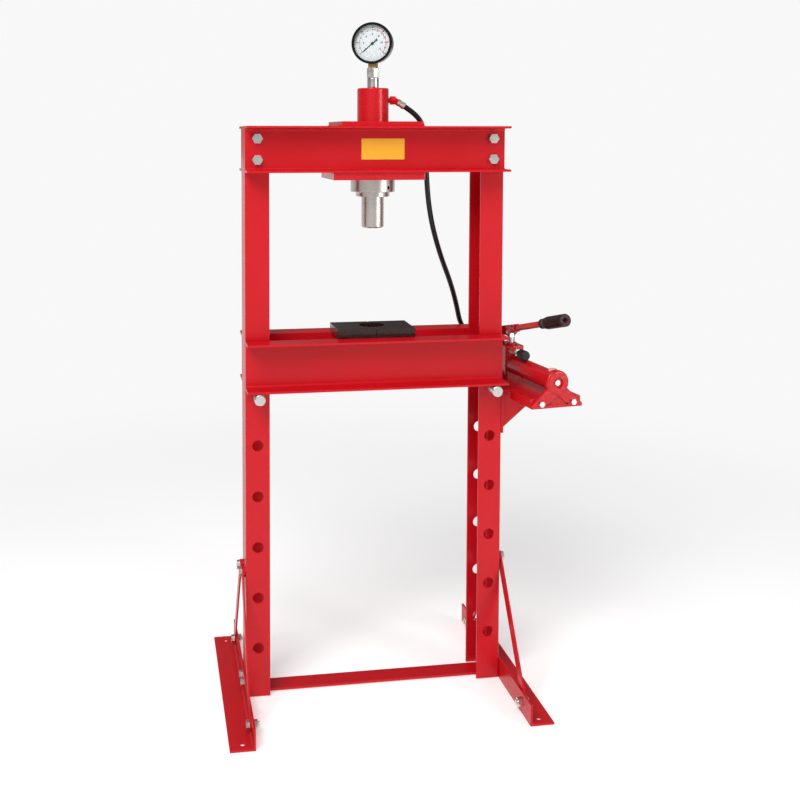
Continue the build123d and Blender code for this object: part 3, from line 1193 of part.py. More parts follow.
# Pump head: block with side flanges, the plunger's gland boss, two ears for the fulcrum pin,
# a socket for the reservoir tube, a boss for the release valve and a port at the rear
EAR_INNER = LEVER_WIDTH / 2 + EAR_GAP
PLUNGER_Y = FULCRUM_TO_PLUNGER
with BuildPart() as pump_head:
    with BuildSketch(Plane((0, HEAD_MIDDLE, SHELF_TOP_HEIGHT))):
        RectangleRounded(2 * HEAD_HALF_WIDTH, HEAD_REAR - HEAD_FRONT, HEAD_CORNER_RADIUS)
    extrude(amount=HEAD_TOP_HEIGHT - SHELF_TOP_HEIGHT)
    fillet(pump_head.edges().group_by(Axis.Z)[-1], HEAD_CORNER_RADIUS / 2)
    with BuildSketch(Plane((0, HEAD_MIDDLE, SHELF_TOP_HEIGHT))):
        RectangleRounded(
            2 * (HEAD_HALF_WIDTH + HEAD_FLANGE_REACH), HEAD_FLANGE_LENGTH, HEAD_CORNER_RADIUS
        )
    extrude(amount=HEAD_FLANGE_THICKNESS)
    with BuildSketch(Plane((0, HEAD_MIDDLE, SHELF_TOP_HEIGHT))):
        with GridLocations(HEAD_SCREW_SPACING, HEAD_SCREW_SPACING, 2, 1):
            Circle(PUMP_SCREW_DIAMETER / 2)
    extrude(amount=HEAD_FLANGE_THICKNESS, mode=Mode.SUBTRACT)
    with BuildSketch(Plane((0, PLUNGER_Y, HEAD_TOP_HEIGHT))):
        Circle(GLAND_BOSS_DIAMETER / 2)
    extrude(amount=GLAND_BOSS_HEIGHT)
    for inner in (EAR_INNER, -EAR_INNER - EAR_THICKNESS):
        with BuildSketch(Plane((inner, 0, 0), x_dir=(0, 1, 0), z_dir=(1, 0, 0))):
            with Locations((FULCRUM_FROM_FRONT, FULCRUM_HEIGHT)):
                Circle(EAR_RADIUS)
            with Locations((FULCRUM_FROM_FRONT, HEAD_TOP_HEIGHT - HEAD_CORNER_RADIUS)):
                Rectangle(2 * EAR_RADIUS + HEAD_CORNER_RADIUS, HEAD_CORNER_RADIUS)
            make_hull()
            with Locations((FULCRUM_FROM_FRONT, FULCRUM_HEIGHT)):
                Circle(FULCRUM_PIN_DIAMETER / 2, mode=Mode.SUBTRACT)
        extrude(amount=EAR_THICKNESS)
    with BuildSketch(Plane((0, PLUNGER_Y, PLUNGER_BORE_BOTTOM_HEIGHT))):
        Circle(PLUNGER_DIAMETER / 2 + SLIDING_GAP)
    extrude(amount=FULCRUM_HEIGHT - PLUNGER_BORE_BOTTOM_HEIGHT, mode=Mode.SUBTRACT)
    with BuildSketch(facing_front(HEAD_FRONT)):
        Circle(TUBE_DIAMETER / 2)
    extrude(amount=-TUBE_SOCKET, mode=Mode.SUBTRACT)
    with BuildSketch(facing_front(HEAD_FRONT, RELEASE_SIDE, RELEASE_HEIGHT)):
        Circle(RELEASE_BOSS_DIAMETER / 2)
    extrude(amount=RELEASE_BOSS_LENGTH)
    with BuildSketch(facing_front(HEAD_FRONT - RELEASE_BOSS_LENGTH, RELEASE_SIDE, RELEASE_HEIGHT)):
        Circle(RELEASE_STEM_DIAMETER / 2 + SLIDING_GAP)
    extrude(amount=-(RELEASE_BOSS_LENGTH + RELEASE_STEM_DIAMETER + EAR_GAP), mode=Mode.SUBTRACT)
    with BuildSketch(facing_front(HEAD_REAR, z=LOWER_PORT_HEIGHT)):
        Circle(PORT_NECK_DIAMETER / 2)
    extrude(amount=PORT_NECK_DEPTH, mode=Mode.SUBTRACT)
export_on_pump(pump_head.part, "pump_head")

# Plunger with a flat tongue on top, slotted for the lever's pin
TONGUE_BOTTOM = PLUNGER_PIN_HEIGHT - TONGUE_BELOW_PIN
PIN_SLOT_HEIGHT = PLUNGER_PIN_DIAMETER + PIN_SLOT_PLAY
with BuildPart() as plunger:
    with BuildSketch(Plane((0, PLUNGER_Y, PLUNGER_BOTTOM_HEIGHT))):
        Circle(PLUNGER_DIAMETER / 2)
    extrude(amount=TONGUE_BOTTOM - PLUNGER_BOTTOM_HEIGHT)
    with BuildSketch(Plane.YZ):
        with Locations((PLUNGER_Y + PIN_SLOT_REACH / 2, PLUNGER_PIN_HEIGHT)):
            Circle(TONGUE_WIDTH / 2)
            with Locations((0, -TONGUE_BELOW_PIN / 2)):
                Rectangle(TONGUE_WIDTH, TONGUE_BELOW_PIN)
            SlotCenterToCenter(PIN_SLOT_REACH, PIN_SLOT_HEIGHT, mode=Mode.SUBTRACT)
    extrude(amount=TONGUE_THICKNESS / 2, both=True)
export_on_pump(plunger.part, "plunger")

# Pin on which the lever swings
with BuildPart() as fulcrum_pin:
    half_length = EAR_INNER + EAR_THICKNESS + FULCRUM_PIN_END
    with BuildSketch(Plane((-half_length, FULCRUM_FROM_FRONT, FULCRUM_HEIGHT), z_dir=(1, 0, 0))):
        Circle(FULCRUM_PIN_DIAMETER / 2)
    extrude(amount=2 * half_length)
    chamfer(fulcrum_pin.edges().filter_by(GeomType.CIRCLE), GRIP_GROOVE)
export_on_pump(fulcrum_pin.part, "fulcrum_pin")

# Lever: forked round the plunger's tongue, with a socket for the handle. It is drawn on a
# plane through the fulcrum whose x runs out along the handle and whose y is across it.
LEVER_PLANE = Plane(
    (0, FULCRUM_FROM_FRONT, FULCRUM_HEIGHT),
    x_dir=(0, -cos(radians(HANDLE_ANGLE)), sin(radians(HANDLE_ANGLE))),
    z_dir=(-1, 0, 0),
)
ACROSS = LEVER_PLANE.y_dir.Z
PIN_ALONG = (
    PLUNGER_ARM * cos(radians(HANDLE_ANGLE)) - PLUNGER_PIN_DROP * sin(radians(HANDLE_ANGLE))
)
PIN_ACROSS = (
    -PLUNGER_ARM * sin(radians(HANDLE_ANGLE)) - PLUNGER_PIN_DROP * cos(radians(HANDLE_ANGLE))
)
PIN_SPOT = (PIN_ALONG, PIN_ACROSS if ACROSS > 0 else -PIN_ACROSS)
FORK_SLOT = TONGUE_THICKNESS + 2 * TONGUE_SIDE_GAP
HANDLE_AXIS = Plane(LEVER_PLANE.origin, x_dir=(1, 0, 0), z_dir=LEVER_PLANE.x_dir)
with BuildPart() as lever:
    with BuildSketch(LEVER_PLANE):
        Circle(LEVER_BOSS_RADIUS)
        with Locations(PIN_SPOT):
            Circle(PIN_BOSS_RADIUS)
        with Locations((FORK_END, 0)):
            Circle(SOCKET_DIAMETER / 2)
        make_hull()
    extrude(amount=LEVER_WIDTH / 2, both=True)
    with BuildSketch(LEVER_PLANE):
        Rectangle(2 * FORK_END, 2 * FORK_END)
        Circle(FORK_CLEARANCE_RADIUS, mode=Mode.SUBTRACT)
    extrude(amount=FORK_SLOT / 2, both=True, mode=Mode.SUBTRACT)
    with BuildSketch(HANDLE_AXIS.offset(FORK_END)):
        Circle(SOCKET_DIAMETER / 2)
    extrude(amount=SOCKET_END - FORK_END)
    with BuildSketch(HANDLE_AXIS.offset(HANDLE_SOCKET_START)):
        Circle(HANDLE_DIAMETER / 2)
    extrude(amount=SOCKET_END, mode=Mode.SUBTRACT)
    with BuildSketch(LEVER_PLANE):
        Circle(FULCRUM_PIN_DIAMETER / 2 + SLIDING_GAP)
        with Locations(PIN_SPOT):
            Circle(PLUNGER_PIN_DIAMETER / 2)
    extrude(amount=LEVER_WIDTH, both=True, mode=Mode.SUBTRACT)
export_on_pump(lever.part, "lever")

with BuildPart() as lever_pin:
    with BuildSketch(LEVER_PLANE.offset(-LEVER_WIDTH / 2)):
        with Locations(PIN_SPOT):
            Circle(PLUNGER_PIN_DIAMETER / 2)
    extrude(amount=LEVER_WIDTH)
export_on_pump(lever_pin.part, "lever_pin")

# Handle tube and its grip
with BuildPart() as handle_tube:
    with BuildSketch(HANDLE_AXIS.offset(HANDLE_SOCKET_START)):
        Circle(HANDLE_DIAMETER / 2)
        Circle(HANDLE_DIAMETER / 2 - HANDLE_WALL, mode=Mode.SUBTRACT)
    extrude(amount=HANDLE_END - HANDLE_SOCKET_START)
export_on_pump(handle_tube.part, "handle_tube")

GRIP_PROFILE_PLANE = Plane(HANDLE_AXIS.origin, x_dir=(1, 0, 0), z_dir=-LEVER_PLANE.y_dir)
ALONG_SIGN = 1 if GRIP_PROFILE_PLANE.y_dir.dot(HANDLE_AXIS.z_dir) > 0 else -1
GRIP_RING_START = GRIP_END - 2 * GRIP_RING_WIDTH
with BuildPart() as handle_grip:
    with BuildSketch(GRIP_PROFILE_PLANE):
        with BuildLine():
            Polyline(
                (HANDLE_DIAMETER / 2, ALONG_SIGN * GRIP_START),
                (GRIP_NECK_DIAMETER / 2, ALONG_SIGN * GRIP_START),
                (GRIP_NECK_DIAMETER / 2, ALONG_SIGN * (GRIP_START + GRIP_NECK_LENGTH)),
                (GRIP_DIAMETER / 2, ALONG_SIGN * (GRIP_START + GRIP_NECK_LENGTH + GRIP_FLARE)),
                (GRIP_DIAMETER / 2, ALONG_SIGN * GRIP_RING_START),
                (GRIP_DIAMETER / 2 - GRIP_GROOVE, ALONG_SIGN * GRIP_RING_START),
                (GRIP_DIAMETER / 2 - GRIP_GROOVE, ALONG_SIGN * (GRIP_END - GRIP_RING_WIDTH)),
                (GRIP_DIAMETER / 2, ALONG_SIGN * (GRIP_END - GRIP_RING_WIDTH)),
                (GRIP_DIAMETER / 2, ALONG_SIGN * (GRIP_END - GRIP_GROOVE)),
                (GRIP_DIAMETER / 2 - GRIP_GROOVE, ALONG_SIGN * GRIP_END),
                (GRIP_EYE_DIAMETER / 2, ALONG_SIGN * GRIP_END),
                (GRIP_EYE_DIAMETER / 2, ALONG_SIGN * HANDLE_END),
                (HANDLE_DIAMETER / 2, ALONG_SIGN * HANDLE_END),
                close=True,
            )
        make_face()
    revolve(axis=Axis(HANDLE_AXIS.origin, HANDLE_AXIS.z_dir))
export_on_pump(handle_grip.part, "handle_grip")

# Release valve: a stem that turns in the pump head and a fluted knob on it
STEM_FRONT = HEAD_FRONT - RELEASE_STEM_LENGTH
with BuildPart() as release_stem:
    with BuildSketch(facing_front(HEAD_FRONT + RELEASE_STEM_DIAMETER, RELEASE_SIDE, RELEASE_HEIGHT)):
        Circle(RELEASE_STEM_DIAMETER / 2)
    extrude(amount=RELEASE_STEM_LENGTH + RELEASE_STEM_DIAMETER)
    COLLAR_BACK = HEAD_FRONT - RELEASE_BOSS_LENGTH - EAR_GAP
    with BuildSketch(facing_front(COLLAR_BACK, RELEASE_SIDE, RELEASE_HEIGHT)):
        RegularPolygon(RELEASE_COLLAR_DIAMETER / 2, 6)
    extrude(amount=RELEASE_COLLAR_LENGTH)
export_on_pump(release_stem.part, "release_stem")

with BuildPart() as release_knob:
    with BuildSketch(facing_front(STEM_FRONT + KNOB_BORE_DEPTH, RELEASE_SIDE, RELEASE_HEIGHT)):
        Circle(KNOB_DIAMETER / 2)
    extrude(amount=KNOB_LENGTH)
    fillet(release_knob.edges().group_by(Axis.Y)[0], KNOB_FILLET)
    with BuildSketch(facing_front(STEM_FRONT + KNOB_BORE_DEPTH, RELEASE_SIDE, RELEASE_HEIGHT)):
        with PolarLocations(KNOB_DIAMETER / 2, KNOB_FLUTE_COUNT):
            Circle(KNOB_FLUTE_DIAMETER / 2)
    extrude(amount=KNOB_LENGTH, mode=Mode.SUBTRACT)
    with BuildSketch(facing_front(STEM_FRONT + KNOB_BORE_DEPTH, RELEASE_SIDE, RELEASE_HEIGHT)):
        Circle(RELEASE_STEM_DIAMETER / 2)
    extrude(amount=KNOB_BORE_DEPTH, mode=Mode.SUBTRACT)
export_on_pump(release_knob.part, "release_knob")


# Hose fitting on the barrel: neck, hexagon and a short bent tube
PORT_X = BARREL_DIAMETER / 2 + PORT_NECK_LENGTH
UPPER_BEND = Vector(PORT_X + FITTING_LENGTH, 0, BARREL_TOP - PORT_HEIGHT_BELOW_TOP)
UPPER_WAY = Vector(cos(radians(UPPER_FITTING_SLOPE)), 0, -sin(radians(UPPER_FITTING_SLOPE)))
with BuildPart() as hose_elbow_upper:
    with BuildSketch(PORT_SIDE.offset(PORT_SEAT)):
        Circle(PORT_NECK_DIAMETER / 2)
    extrude(amount=PORT_X - PORT_SEAT)
    with BuildSketch(PORT_SIDE.offset(PORT_X)):
        RegularPolygon(FITTING_FLATS / 2, 6, major_radius=False)
    extrude(amount=FITTING_LENGTH)
    with Locations(UPPER_BEND):
        Sphere(FITTING_TUBE_DIAMETER / 2)
    with BuildSketch(Plane(UPPER_BEND, z_dir=UPPER_WAY)):
        Circle(FITTING_TUBE_DIAMETER / 2)
    extrude(amount=UPPER_FITTING_REACH)
export(hose_elbow_upper.part, "hose_elbow_upper")

# Hose fitting at the rear of the pump head: a bent piece that ends towards the left
REAR_PORT = PUMP_PLACE.from_local_coords(Vector(0, HEAD_REAR, LOWER_PORT_HEIGHT))
REARWARD = PUMP_PLACE.y_dir
LOWER_BEND = REAR_PORT + REARWARD * LOWER_ELBOW_CENTRE
LOWER_LEVEL = cos(radians(LOWER_FITTING_SLOPE))
LOWER_WAY = Vector(
    -LOWER_LEVEL * cos(radians(LOWER_FITTING_SWING)),
    LOWER_LEVEL * sin(radians(LOWER_FITTING_SWING)),
    sin(radians(LOWER_FITTING_SLOPE)),
)
with BuildPart() as hose_elbow_lower:
    with BuildSketch(Plane(REAR_PORT - REARWARD * PORT_NECK_DEPTH, z_dir=REARWARD)):
        Circle(PORT_NECK_DIAMETER / 2)
    extrude(amount=PORT_NECK_DEPTH + LOWER_ELBOW_CENTRE)
    with Locations(LOWER_BEND):
        Sphere(FITTING_TUBE_DIAMETER / 2)
    with BuildSketch(Plane(LOWER_BEND, z_dir=LOWER_WAY)):
        Circle(FITTING_TUBE_DIAMETER / 2)
    extrude(amount=LOWER_ELBOW_REACH - FITTING_TUBE_DIAMETER / 2)
    with BuildSketch(Plane(LOWER_BEND + LOWER_WAY * (LOWER_ELBOW_REACH / 2), z_dir=LOWER_WAY)):
        RegularPolygon(FITTING_FLATS / 2, 6, major_radius=False)
    extrude(amount=LOWER_ELBOW_REACH / 2)
export(hose_elbow_lower.part, "hose_elbow_lower")


def make_ferrule(start, way):
    """Crimped sleeve at one end of the hose, with a shallow step in its middle."""
    with BuildPart() as ferrule:
        with BuildSketch(Plane(start, z_dir=way)):
            Circle(FERRULE_DIAMETER / 2)
        extrude(amount=FERRULE_LENGTH)
        with BuildSketch(Plane(start + way * (FERRULE_LENGTH / 3), z_dir=way)):
            Circle(FERRULE_DIAMETER / 2)
            Circle(FERRULE_DIAMETER / 2 - GRIP_GROOVE, mode=Mode.SUBTRACT)
        extrude(amount=FERRULE_LENGTH / 3, mode=Mode.SUBTRACT)
    return ferrule.part


UPPER_FERRULE = UPPER_BEND + UPPER_WAY * UPPER_FITTING_REACH
LOWER_FERRULE = LOWER_BEND + LOWER_WAY * LOWER_ELBOW_REACH
with BuildPart() as hose_ferrules:
    add(make_ferrule(UPPER_FERRULE, UPPER_WAY))
    add(make_ferrule(LOWER_FERRULE, LOWER_WAY))
export(hose_ferrules.part, "hose_ferrules")


# Hose: straight runs joined by tangent arcs, from the upper ferrule down to the lower one
def downward(slope):
    """Direction in the front plane that falls to the right at the given angle."""
    return Vector(cos(radians(slope)), 0, -sin(radians(slope)))


HOSE_START = UPPER_FERRULE + UPPER_WAY * FERRULE_LENGTH
HOSE_END = LOWER_FERRULE + LOWER_WAY * FERRULE_LENGTH
FIRST_CORNER = HOSE_START + UPPER_WAY * HOSE_FIRST_RUN
SECOND_CORNER = FIRST_CORNER + downward(HOSE_SECOND_SLOPE) * HOSE_SECOND_RUN
THIRD_CORNER = SECOND_CORNER + downward(HOSE_THIRD_SLOPE) * HOSE_THIRD_RUN
LAST_CORNER = HOSE_END + LOWER_WAY * HOSE_LAST_RUN


def corner_between(share, offset):
    """A corner part of the way down from the third corner to the last one."""
    return THIRD_CORNER + (LAST_CORNER - THIRD_CORNER) * share + Vector(*offset, 0)


HOSE_POINTS = [
    HOSE_START,
    FIRST_CORNER,
    SECOND_CORNER,
    THIRD_CORNER,
    corner_between(HOSE_UPPER_SHARE, HOSE_UPPER_OFFSET),
    corner_between(HOSE_MIDDLE_SHARE, HOSE_MIDDLE_OFFSET),
    corner_between(HOSE_LOWER_SHARE, HOSE_LOWER_OFFSET),
    LAST_CORNER,
    HOSE_END,
]
HOSE_RADII = []
for before, corner, after in zip(HOSE_POINTS, HOSE_POINTS[1:], HOSE_POINTS[2:]):
    shorter_run = min((corner - before).length, (after - corner).length)
    half_turn = radians((corner - before).get_angle(after - corner) / 2)
    HOSE_RADII.append(HOSE_TURN_SHARE * shorter_run * cos(half_turn) / sin(half_turn))

with BuildPart() as hose:
    with BuildLine():
        hose_line = FilletPolyline(*HOSE_POINTS, radius=HOSE_RADII)
    with BuildSketch(Plane(HOSE_START, z_dir=UPPER_WAY)):
        Circle(HOSE_DIAMETER / 2)
    sweep()
export(hose.part, "hose")

print("hose points", [tuple(round(c, 2) for c in point) for point in HOSE_POINTS])
print("hose radii", [round(radius, 1) for radius in HOSE_RADII])
print("hose length", round(hose_line.length, 1))
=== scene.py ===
import bpy
import json
import math
from mathutils import Matrix, Vector


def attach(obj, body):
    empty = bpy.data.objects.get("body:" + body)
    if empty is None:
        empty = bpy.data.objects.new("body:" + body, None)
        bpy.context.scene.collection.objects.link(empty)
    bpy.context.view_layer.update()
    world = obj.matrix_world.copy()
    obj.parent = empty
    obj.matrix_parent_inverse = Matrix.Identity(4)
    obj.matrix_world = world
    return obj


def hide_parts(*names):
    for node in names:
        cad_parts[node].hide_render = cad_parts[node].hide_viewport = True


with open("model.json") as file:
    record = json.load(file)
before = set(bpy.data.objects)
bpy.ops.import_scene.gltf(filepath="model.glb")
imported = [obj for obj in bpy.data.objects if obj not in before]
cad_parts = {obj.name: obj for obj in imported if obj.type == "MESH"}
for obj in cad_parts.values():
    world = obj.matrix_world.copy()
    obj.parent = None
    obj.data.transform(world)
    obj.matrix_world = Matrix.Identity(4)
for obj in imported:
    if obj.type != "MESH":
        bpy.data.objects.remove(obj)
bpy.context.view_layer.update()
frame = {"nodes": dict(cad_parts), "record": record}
NODES = frame["nodes"]
scene = bpy.context.scene

# Colours that more than one place uses
RED_DARK = (0.48, 0.004, 0.009)
RED_LIGHT = (0.58, 0.005, 0.012)
BACKDROP_WHITE = (0.94, 0.94, 0.94, 1)

# Surface values that every material of a kind shares
PAINT_SPECULAR = 0.25
PAINT_COAT_ROUGHNESS = 0.10
PLAIN_SPECULAR = 0.35
METAL_BUMP_DEPTH = 0.0003

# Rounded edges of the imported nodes
JOIN_DISTANCE = 0.000002
EDGE_WIDTH = 0.0006
BOLT_EDGE_WIDTH = 0.0009
EDGE_ANGLE = math.radians(35)
NORMAL_WEIGHT = 60

# Nodes with a finish or an edge of their own
HAMMERED = {"top_plate", "bottom_plate", "end_cap", "pump_head"}
UNBEVELLED = {"hose", "return_spring", "gauge_tube", "gauge_dial", "gauge_glass", "gauge_needle"}
BOLT_EDGED = {"beam_bolts", "foot_bolts", "bracket_bolts", "pump_screws", "gauge_coupling"}

# Bare turned band near the barrel's lower end
BAND_HEIGHT = 1.2155
BAND_HALF_WIDTH = 0.0055
BAND_COLOUR = (0.56, 0.52, 0.48, 1)

# Hose
HOSE_RADIUS = 0.0065
HOSE_CORNERS = [
    (0.0779, 0.0, 1.42869),
    (0.108, 0.0, 1.40988),
    (0.12671, 0.0, 1.37912),
    (0.13232, 0.0, 1.30935),
    (0.14353, 0.01268, 1.17926),
    (0.18343, 0.06119, 1.06844),
    (0.24279, 0.11824, 0.95281),
    (0.27755, 0.15438, 0.82754),
    (0.34486, 0.15085, 0.79466),
]

# Gauge dial
GAUGE_TURN = math.radians(24)
GAUGE_HEIGHT = 1.58
DIAL_FACE = 0.00805
DIAL_START_ANGLE = 220
DIAL_SWEEP = 260
RED_FROM = 0.5
FINE_STEPS = 60
COARSE_STEPS = 12
PRINT_THICKNESS = 0.0002
LETTER_THICKNESS = 0.0001

# Small boss on top of the cylinder
BOSS_BASE = (-0.003, -0.026, 1.4715)
BOSS_RADIUS = 0.0045
BOSS_HEIGHT = 0.0035

# Weld beads
BEAD_RADIUS = 0.0022
THIN_BEAD_RADIUS = 0.0018
BEAD_STEP = 0.0022
BEAD_RIPPLE = 0.16
CROSSBAR_END = 0.3115
CROSSBAR_HALF_DEPTH = 0.0235
CROSSBAR_TOP = 0.0085
GUSSET_SIDES = (-0.033, -0.027, 0.027, 0.033)
GUSSET_BACK = 0.3242
GUSSET_BOTTOM = 0.640
GUSSET_TOP = 0.722
SHELF_BEAD_HEIGHT = 0.7250
SHELF_BEAD_START = 0.328
SHELF_BEAD_END = 0.425
TOP_PLATE_ENDS = (-0.0935, 0.1035)
TOP_PLATE_BEAD_HEIGHT = 1.3812
BOTTOM_PLATE_ENDS = (-0.112, 0.108)
BOTTOM_PLATE_BEAD_HEIGHT = 1.2700
PLATE_BEAD_INNER = 0.052
PLATE_BEAD_OUTER = 0.092

# Floor: it turns into the white of the backdrop between these distances from the press
FLOOR_CORNERS = [(-40, -40, 0), (40, -40, 0), (40, 60, 0), (-40, 60, 0)]
FADE_START = 0.8
FADE_END = 3.0

# Studio gradient from left to right, as places and grey values
STUDIO_GREYS = ((0.22, 0.46), (0.5, 0.28), (0.62, 0.06), (0.75, 0.42))
STUDIO_LEFT = (0.05, 0.05, 0.05, 1)
STUDIO_RIGHT = (0.08, 0.08, 0.08, 1)

# Camera: placed by matching the photograph's perspective
CAMERA_PLACE = (-0.546568, -2.512302, 1.357091)
YAW = 0.152959
PITCH = 0.055616
PICTURE_PX = 800
FOCAL_PX = 1052.722
CENTRE_X_PX = 308.157
CENTRE_Y_PX = 194.386
SENSOR_WIDTH = 36


# Material helpers
def new_material(name):
    mat = bpy.data.materials.new(name)
    mat.use_nodes = True
    tree = mat.node_tree
    shader = tree.nodes["Principled BSDF"]
    coord = tree.nodes.new("ShaderNodeTexCoord")
    return mat, tree, shader, coord


def noise(tree, coord, scale, detail=3.0, rough=0.5, stretch=None):
    node = tree.nodes.new("ShaderNodeTexNoise")
    node.inputs["Scale"].default_value = scale
    node.inputs["Detail"].default_value = detail
    node.inputs["Roughness"].default_value = rough
    source = coord.outputs["Object"]
    if stretch:
        mapping = tree.nodes.new("ShaderNodeMapping")
        mapping.inputs["Scale"].default_value = stretch
        tree.links.new(source, mapping.inputs["Vector"])
        source = mapping.outputs["Vector"]
    tree.links.new(source, node.inputs["Vector"])
    return node


def ranged(tree, source, low, high):
    """Noise, which stays mostly between 0.3 and 0.7, spread over low to high."""
    node = tree.nodes.new("ShaderNodeMapRange")
    node.inputs["From Min"].default_value = 0.3
    node.inputs["From Max"].default_value = 0.7
    node.inputs["To Min"].default_value = low
    node.inputs["To Max"].default_value = high
    tree.links.new(source, node.inputs["Value"])
    return node.outputs["Result"]


def tinted(tree, source, dark, light):
    node = tree.nodes.new("ShaderNodeMix")
    node.data_type = "RGBA"
    node.inputs["A"].default_value = (*dark, 1)
    node.inputs["B"].default_value = (*light, 1)
    tree.links.new(source, node.inputs["Factor"])
    return node.outputs["Result"]


def bumped(tree, shader, source, strength, distance):
    node = tree.nodes.new("ShaderNodeBump")
    node.inputs["Strength"].default_value = strength
    node.inputs["Distance"].default_value = distance
    tree.links.new(source, node.inputs["Height"])
    tree.links.new(node.outputs["Normal"], shader.inputs["Normal"])


def mixed_surface(tree, factor, first, second):
    """The first shader shows where the factor is 0 and the second where it is 1."""
    mix = tree.nodes.new("ShaderNodeMixShader")
    tree.links.new(factor, mix.inputs["Fac"])
    tree.links.new(first, mix.inputs[1])
    tree.links.new(second, mix.inputs[2])
    tree.links.new(mix.outputs["Shader"], tree.nodes["Material Output"].inputs["Surface"])


def paint(name, dark, light, rough, scale, strength, distance, coat=0.4):
    """Powder coat: orange-peel bump, with small changes of colour and gloss."""
    mat, tree, shader, coord = new_material(name)
    peel = noise(tree, coord, scale, 2.0)
    patch = noise(tree, coord, 6.0, 4.0)
    tree.links.new(tinted(tree, patch.outputs["Fac"], dark, light), shader.inputs["Base Color"])
    tree.links.new(ranged(tree, patch.outputs["Fac"], *rough), shader.inputs["Roughness"])
    shader.inputs["Specular IOR Level"].default_value = PAINT_SPECULAR
    shader.inputs["Coat Weight"].default_value = coat
    shader.inputs["Coat Roughness"].default_value = PAINT_COAT_ROUGHNESS
    bumped(tree, shader, peel.outputs["Fac"], strength, distance)
    return mat


def metal(name, dark, light, rough, stretch=(1, 1, 1), scale=60.0, strength=0.08):
    """Bare or plated metal: fine streaks in colour, gloss and bump."""
    mat, tree, shader, coord = new_material(name)
    streak = noise(tree, coord, scale, 5.0, 0.6, stretch)
    patch = noise(tree, coord, 25.0, 3.0)
    shader.inputs["Metallic"].default_value = 1.0
    tree.links.new(tinted(tree, patch.outputs["Fac"], dark, light), shader.inputs["Base Color"])
    tree.links.new(ranged(tree, streak.outputs["Fac"], *rough), shader.inputs["Roughness"])
    bumped(tree, shader, streak.outputs["Fac"], strength, METAL_BUMP_DEPTH)
    return mat


def plain(name, dark, light, rough, scale=300.0, strength=0.1, distance=0.0002, coat=0.0):
    """Plastic, rubber or enamel with a fine grain."""
    mat, tree, shader, coord = new_material(name)
    grain = noise(tree, coord, scale, 3.0)
    patch = noise(tree, coord, 30.0, 3.0)
    tree.links.new(tinted(tree, patch.outputs["Fac"], dark, light), shader.inputs["Base Color"])
    tree.links.new(ranged(tree, grain.outputs["Fac"], *rough), shader.inputs["Roughness"])
    shader.inputs["Specular IOR Level"].default_value = PLAIN_SPECULAR
    shader.inputs["Coat Weight"].default_value = coat
    bumped(tree, shader, grain.outputs["Fac"], strength, distance)
    return mat


def clear_glass(name):
    """Transparent, with a weak gloss that grows towards grazing angles."""
    mat = bpy.data.materials.new(name)
    mat.use_nodes = True
    tree = mat.node_tree
    tree.nodes.remove(tree.nodes["Principled BSDF"])
    clear = tree.nodes.new("ShaderNodeBsdfTransparent")
    gloss = tree.nodes.new("ShaderNodeBsdfGlossy")
    gloss.inputs["Roughness"].default_value = 0.03
    rim = tree.nodes.new("ShaderNodeFresnel")
    rim.inputs["IOR"].default_value = 1.2
    mixed_surface(tree, rim.outputs["Fac"], clear.outputs["BSDF"], gloss.outputs["BSDF"])
    return mat


def banded(base, name):
    """A copy of a paint that leaves the barrel's band bare."""
    mat = base.copy()
    mat.name = name
    tree = mat.node_tree
    place = tree.nodes.new("ShaderNodeNewGeometry")
    split = tree.nodes.new("ShaderNodeSeparateXYZ")
    band = tree.nodes.new("ShaderNodeMath")
    band.operation = "COMPARE"
    band.inputs[1].default_value = BAND_HEIGHT
    band.inputs[2].default_value = BAND_HALF_WIDTH
    bare = tree.nodes.new("ShaderNodeBsdfPrincipled")
    bare.inputs["Base Color"].default_value = BAND_COLOUR
    bare.inputs["Metallic"].default_value = 1.0
    bare.inputs["Roughness"].default_value = 0.28
    tree.links.new(place.outputs["Position"], split.inputs["Vector"])
    tree.links.new(split.outputs["Z"], band.inputs[0])
    painted = tree.nodes["Principled BSDF"].outputs["BSDF"]
    mixed_surface(tree, band.outputs["Value"], painted, bare.outputs["BSDF"])
    return mat


# Paints
red = paint(
    "red_paint", RED_DARK, RED_LIGHT,
    rough=(0.28, 0.38), scale=260.0, strength=0.22, distance=0.0006, coat=0.1,
)
red_hammered = paint(
    "red_hammered", RED_DARK, RED_LIGHT,
    rough=(0.20, 0.32), scale=130.0, strength=0.6, distance=0.0012, coat=0.35,
)
barrel_paint = banded(red_hammered, "barrel_paint")
arbor = paint(
    "arbor_paint", (0.012, 0.006, 0.005), (0.035, 0.014, 0.011),
    rough=(0.22, 0.42), scale=120.0, strength=1.0, distance=0.0018,
)

# Metals
zinc = metal("zinc", (0.62, 0.60, 0.57), (0.80, 0.79, 0.77), rough=(0.22, 0.36))
zinc_fitting = metal("zinc_fitting", (0.60, 0.57, 0.53), (0.78, 0.75, 0.71), rough=(0.25, 0.38))
nickel = metal(
    "nickel_steel", (0.50, 0.46, 0.42), (0.66, 0.62, 0.58),
    rough=(0.24, 0.34), stretch=(1, 1, 60), scale=14.0, strength=0.10,
)
steel = metal("ground_steel", (0.50, 0.50, 0.50), (0.66, 0.66, 0.66), rough=(0.18, 0.30))
dark_steel = metal("spring_steel", (0.08, 0.08, 0.09), (0.16, 0.16, 0.17), rough=(0.35, 0.5))
black_steel = metal("black_steel", (0.02, 0.02, 0.02), (0.05, 0.05, 0.05), rough=(0.35, 0.5))
brass = metal("brass", (0.30, 0.16, 0.05), (0.44, 0.26, 0.10), rough=(0.24, 0.36))

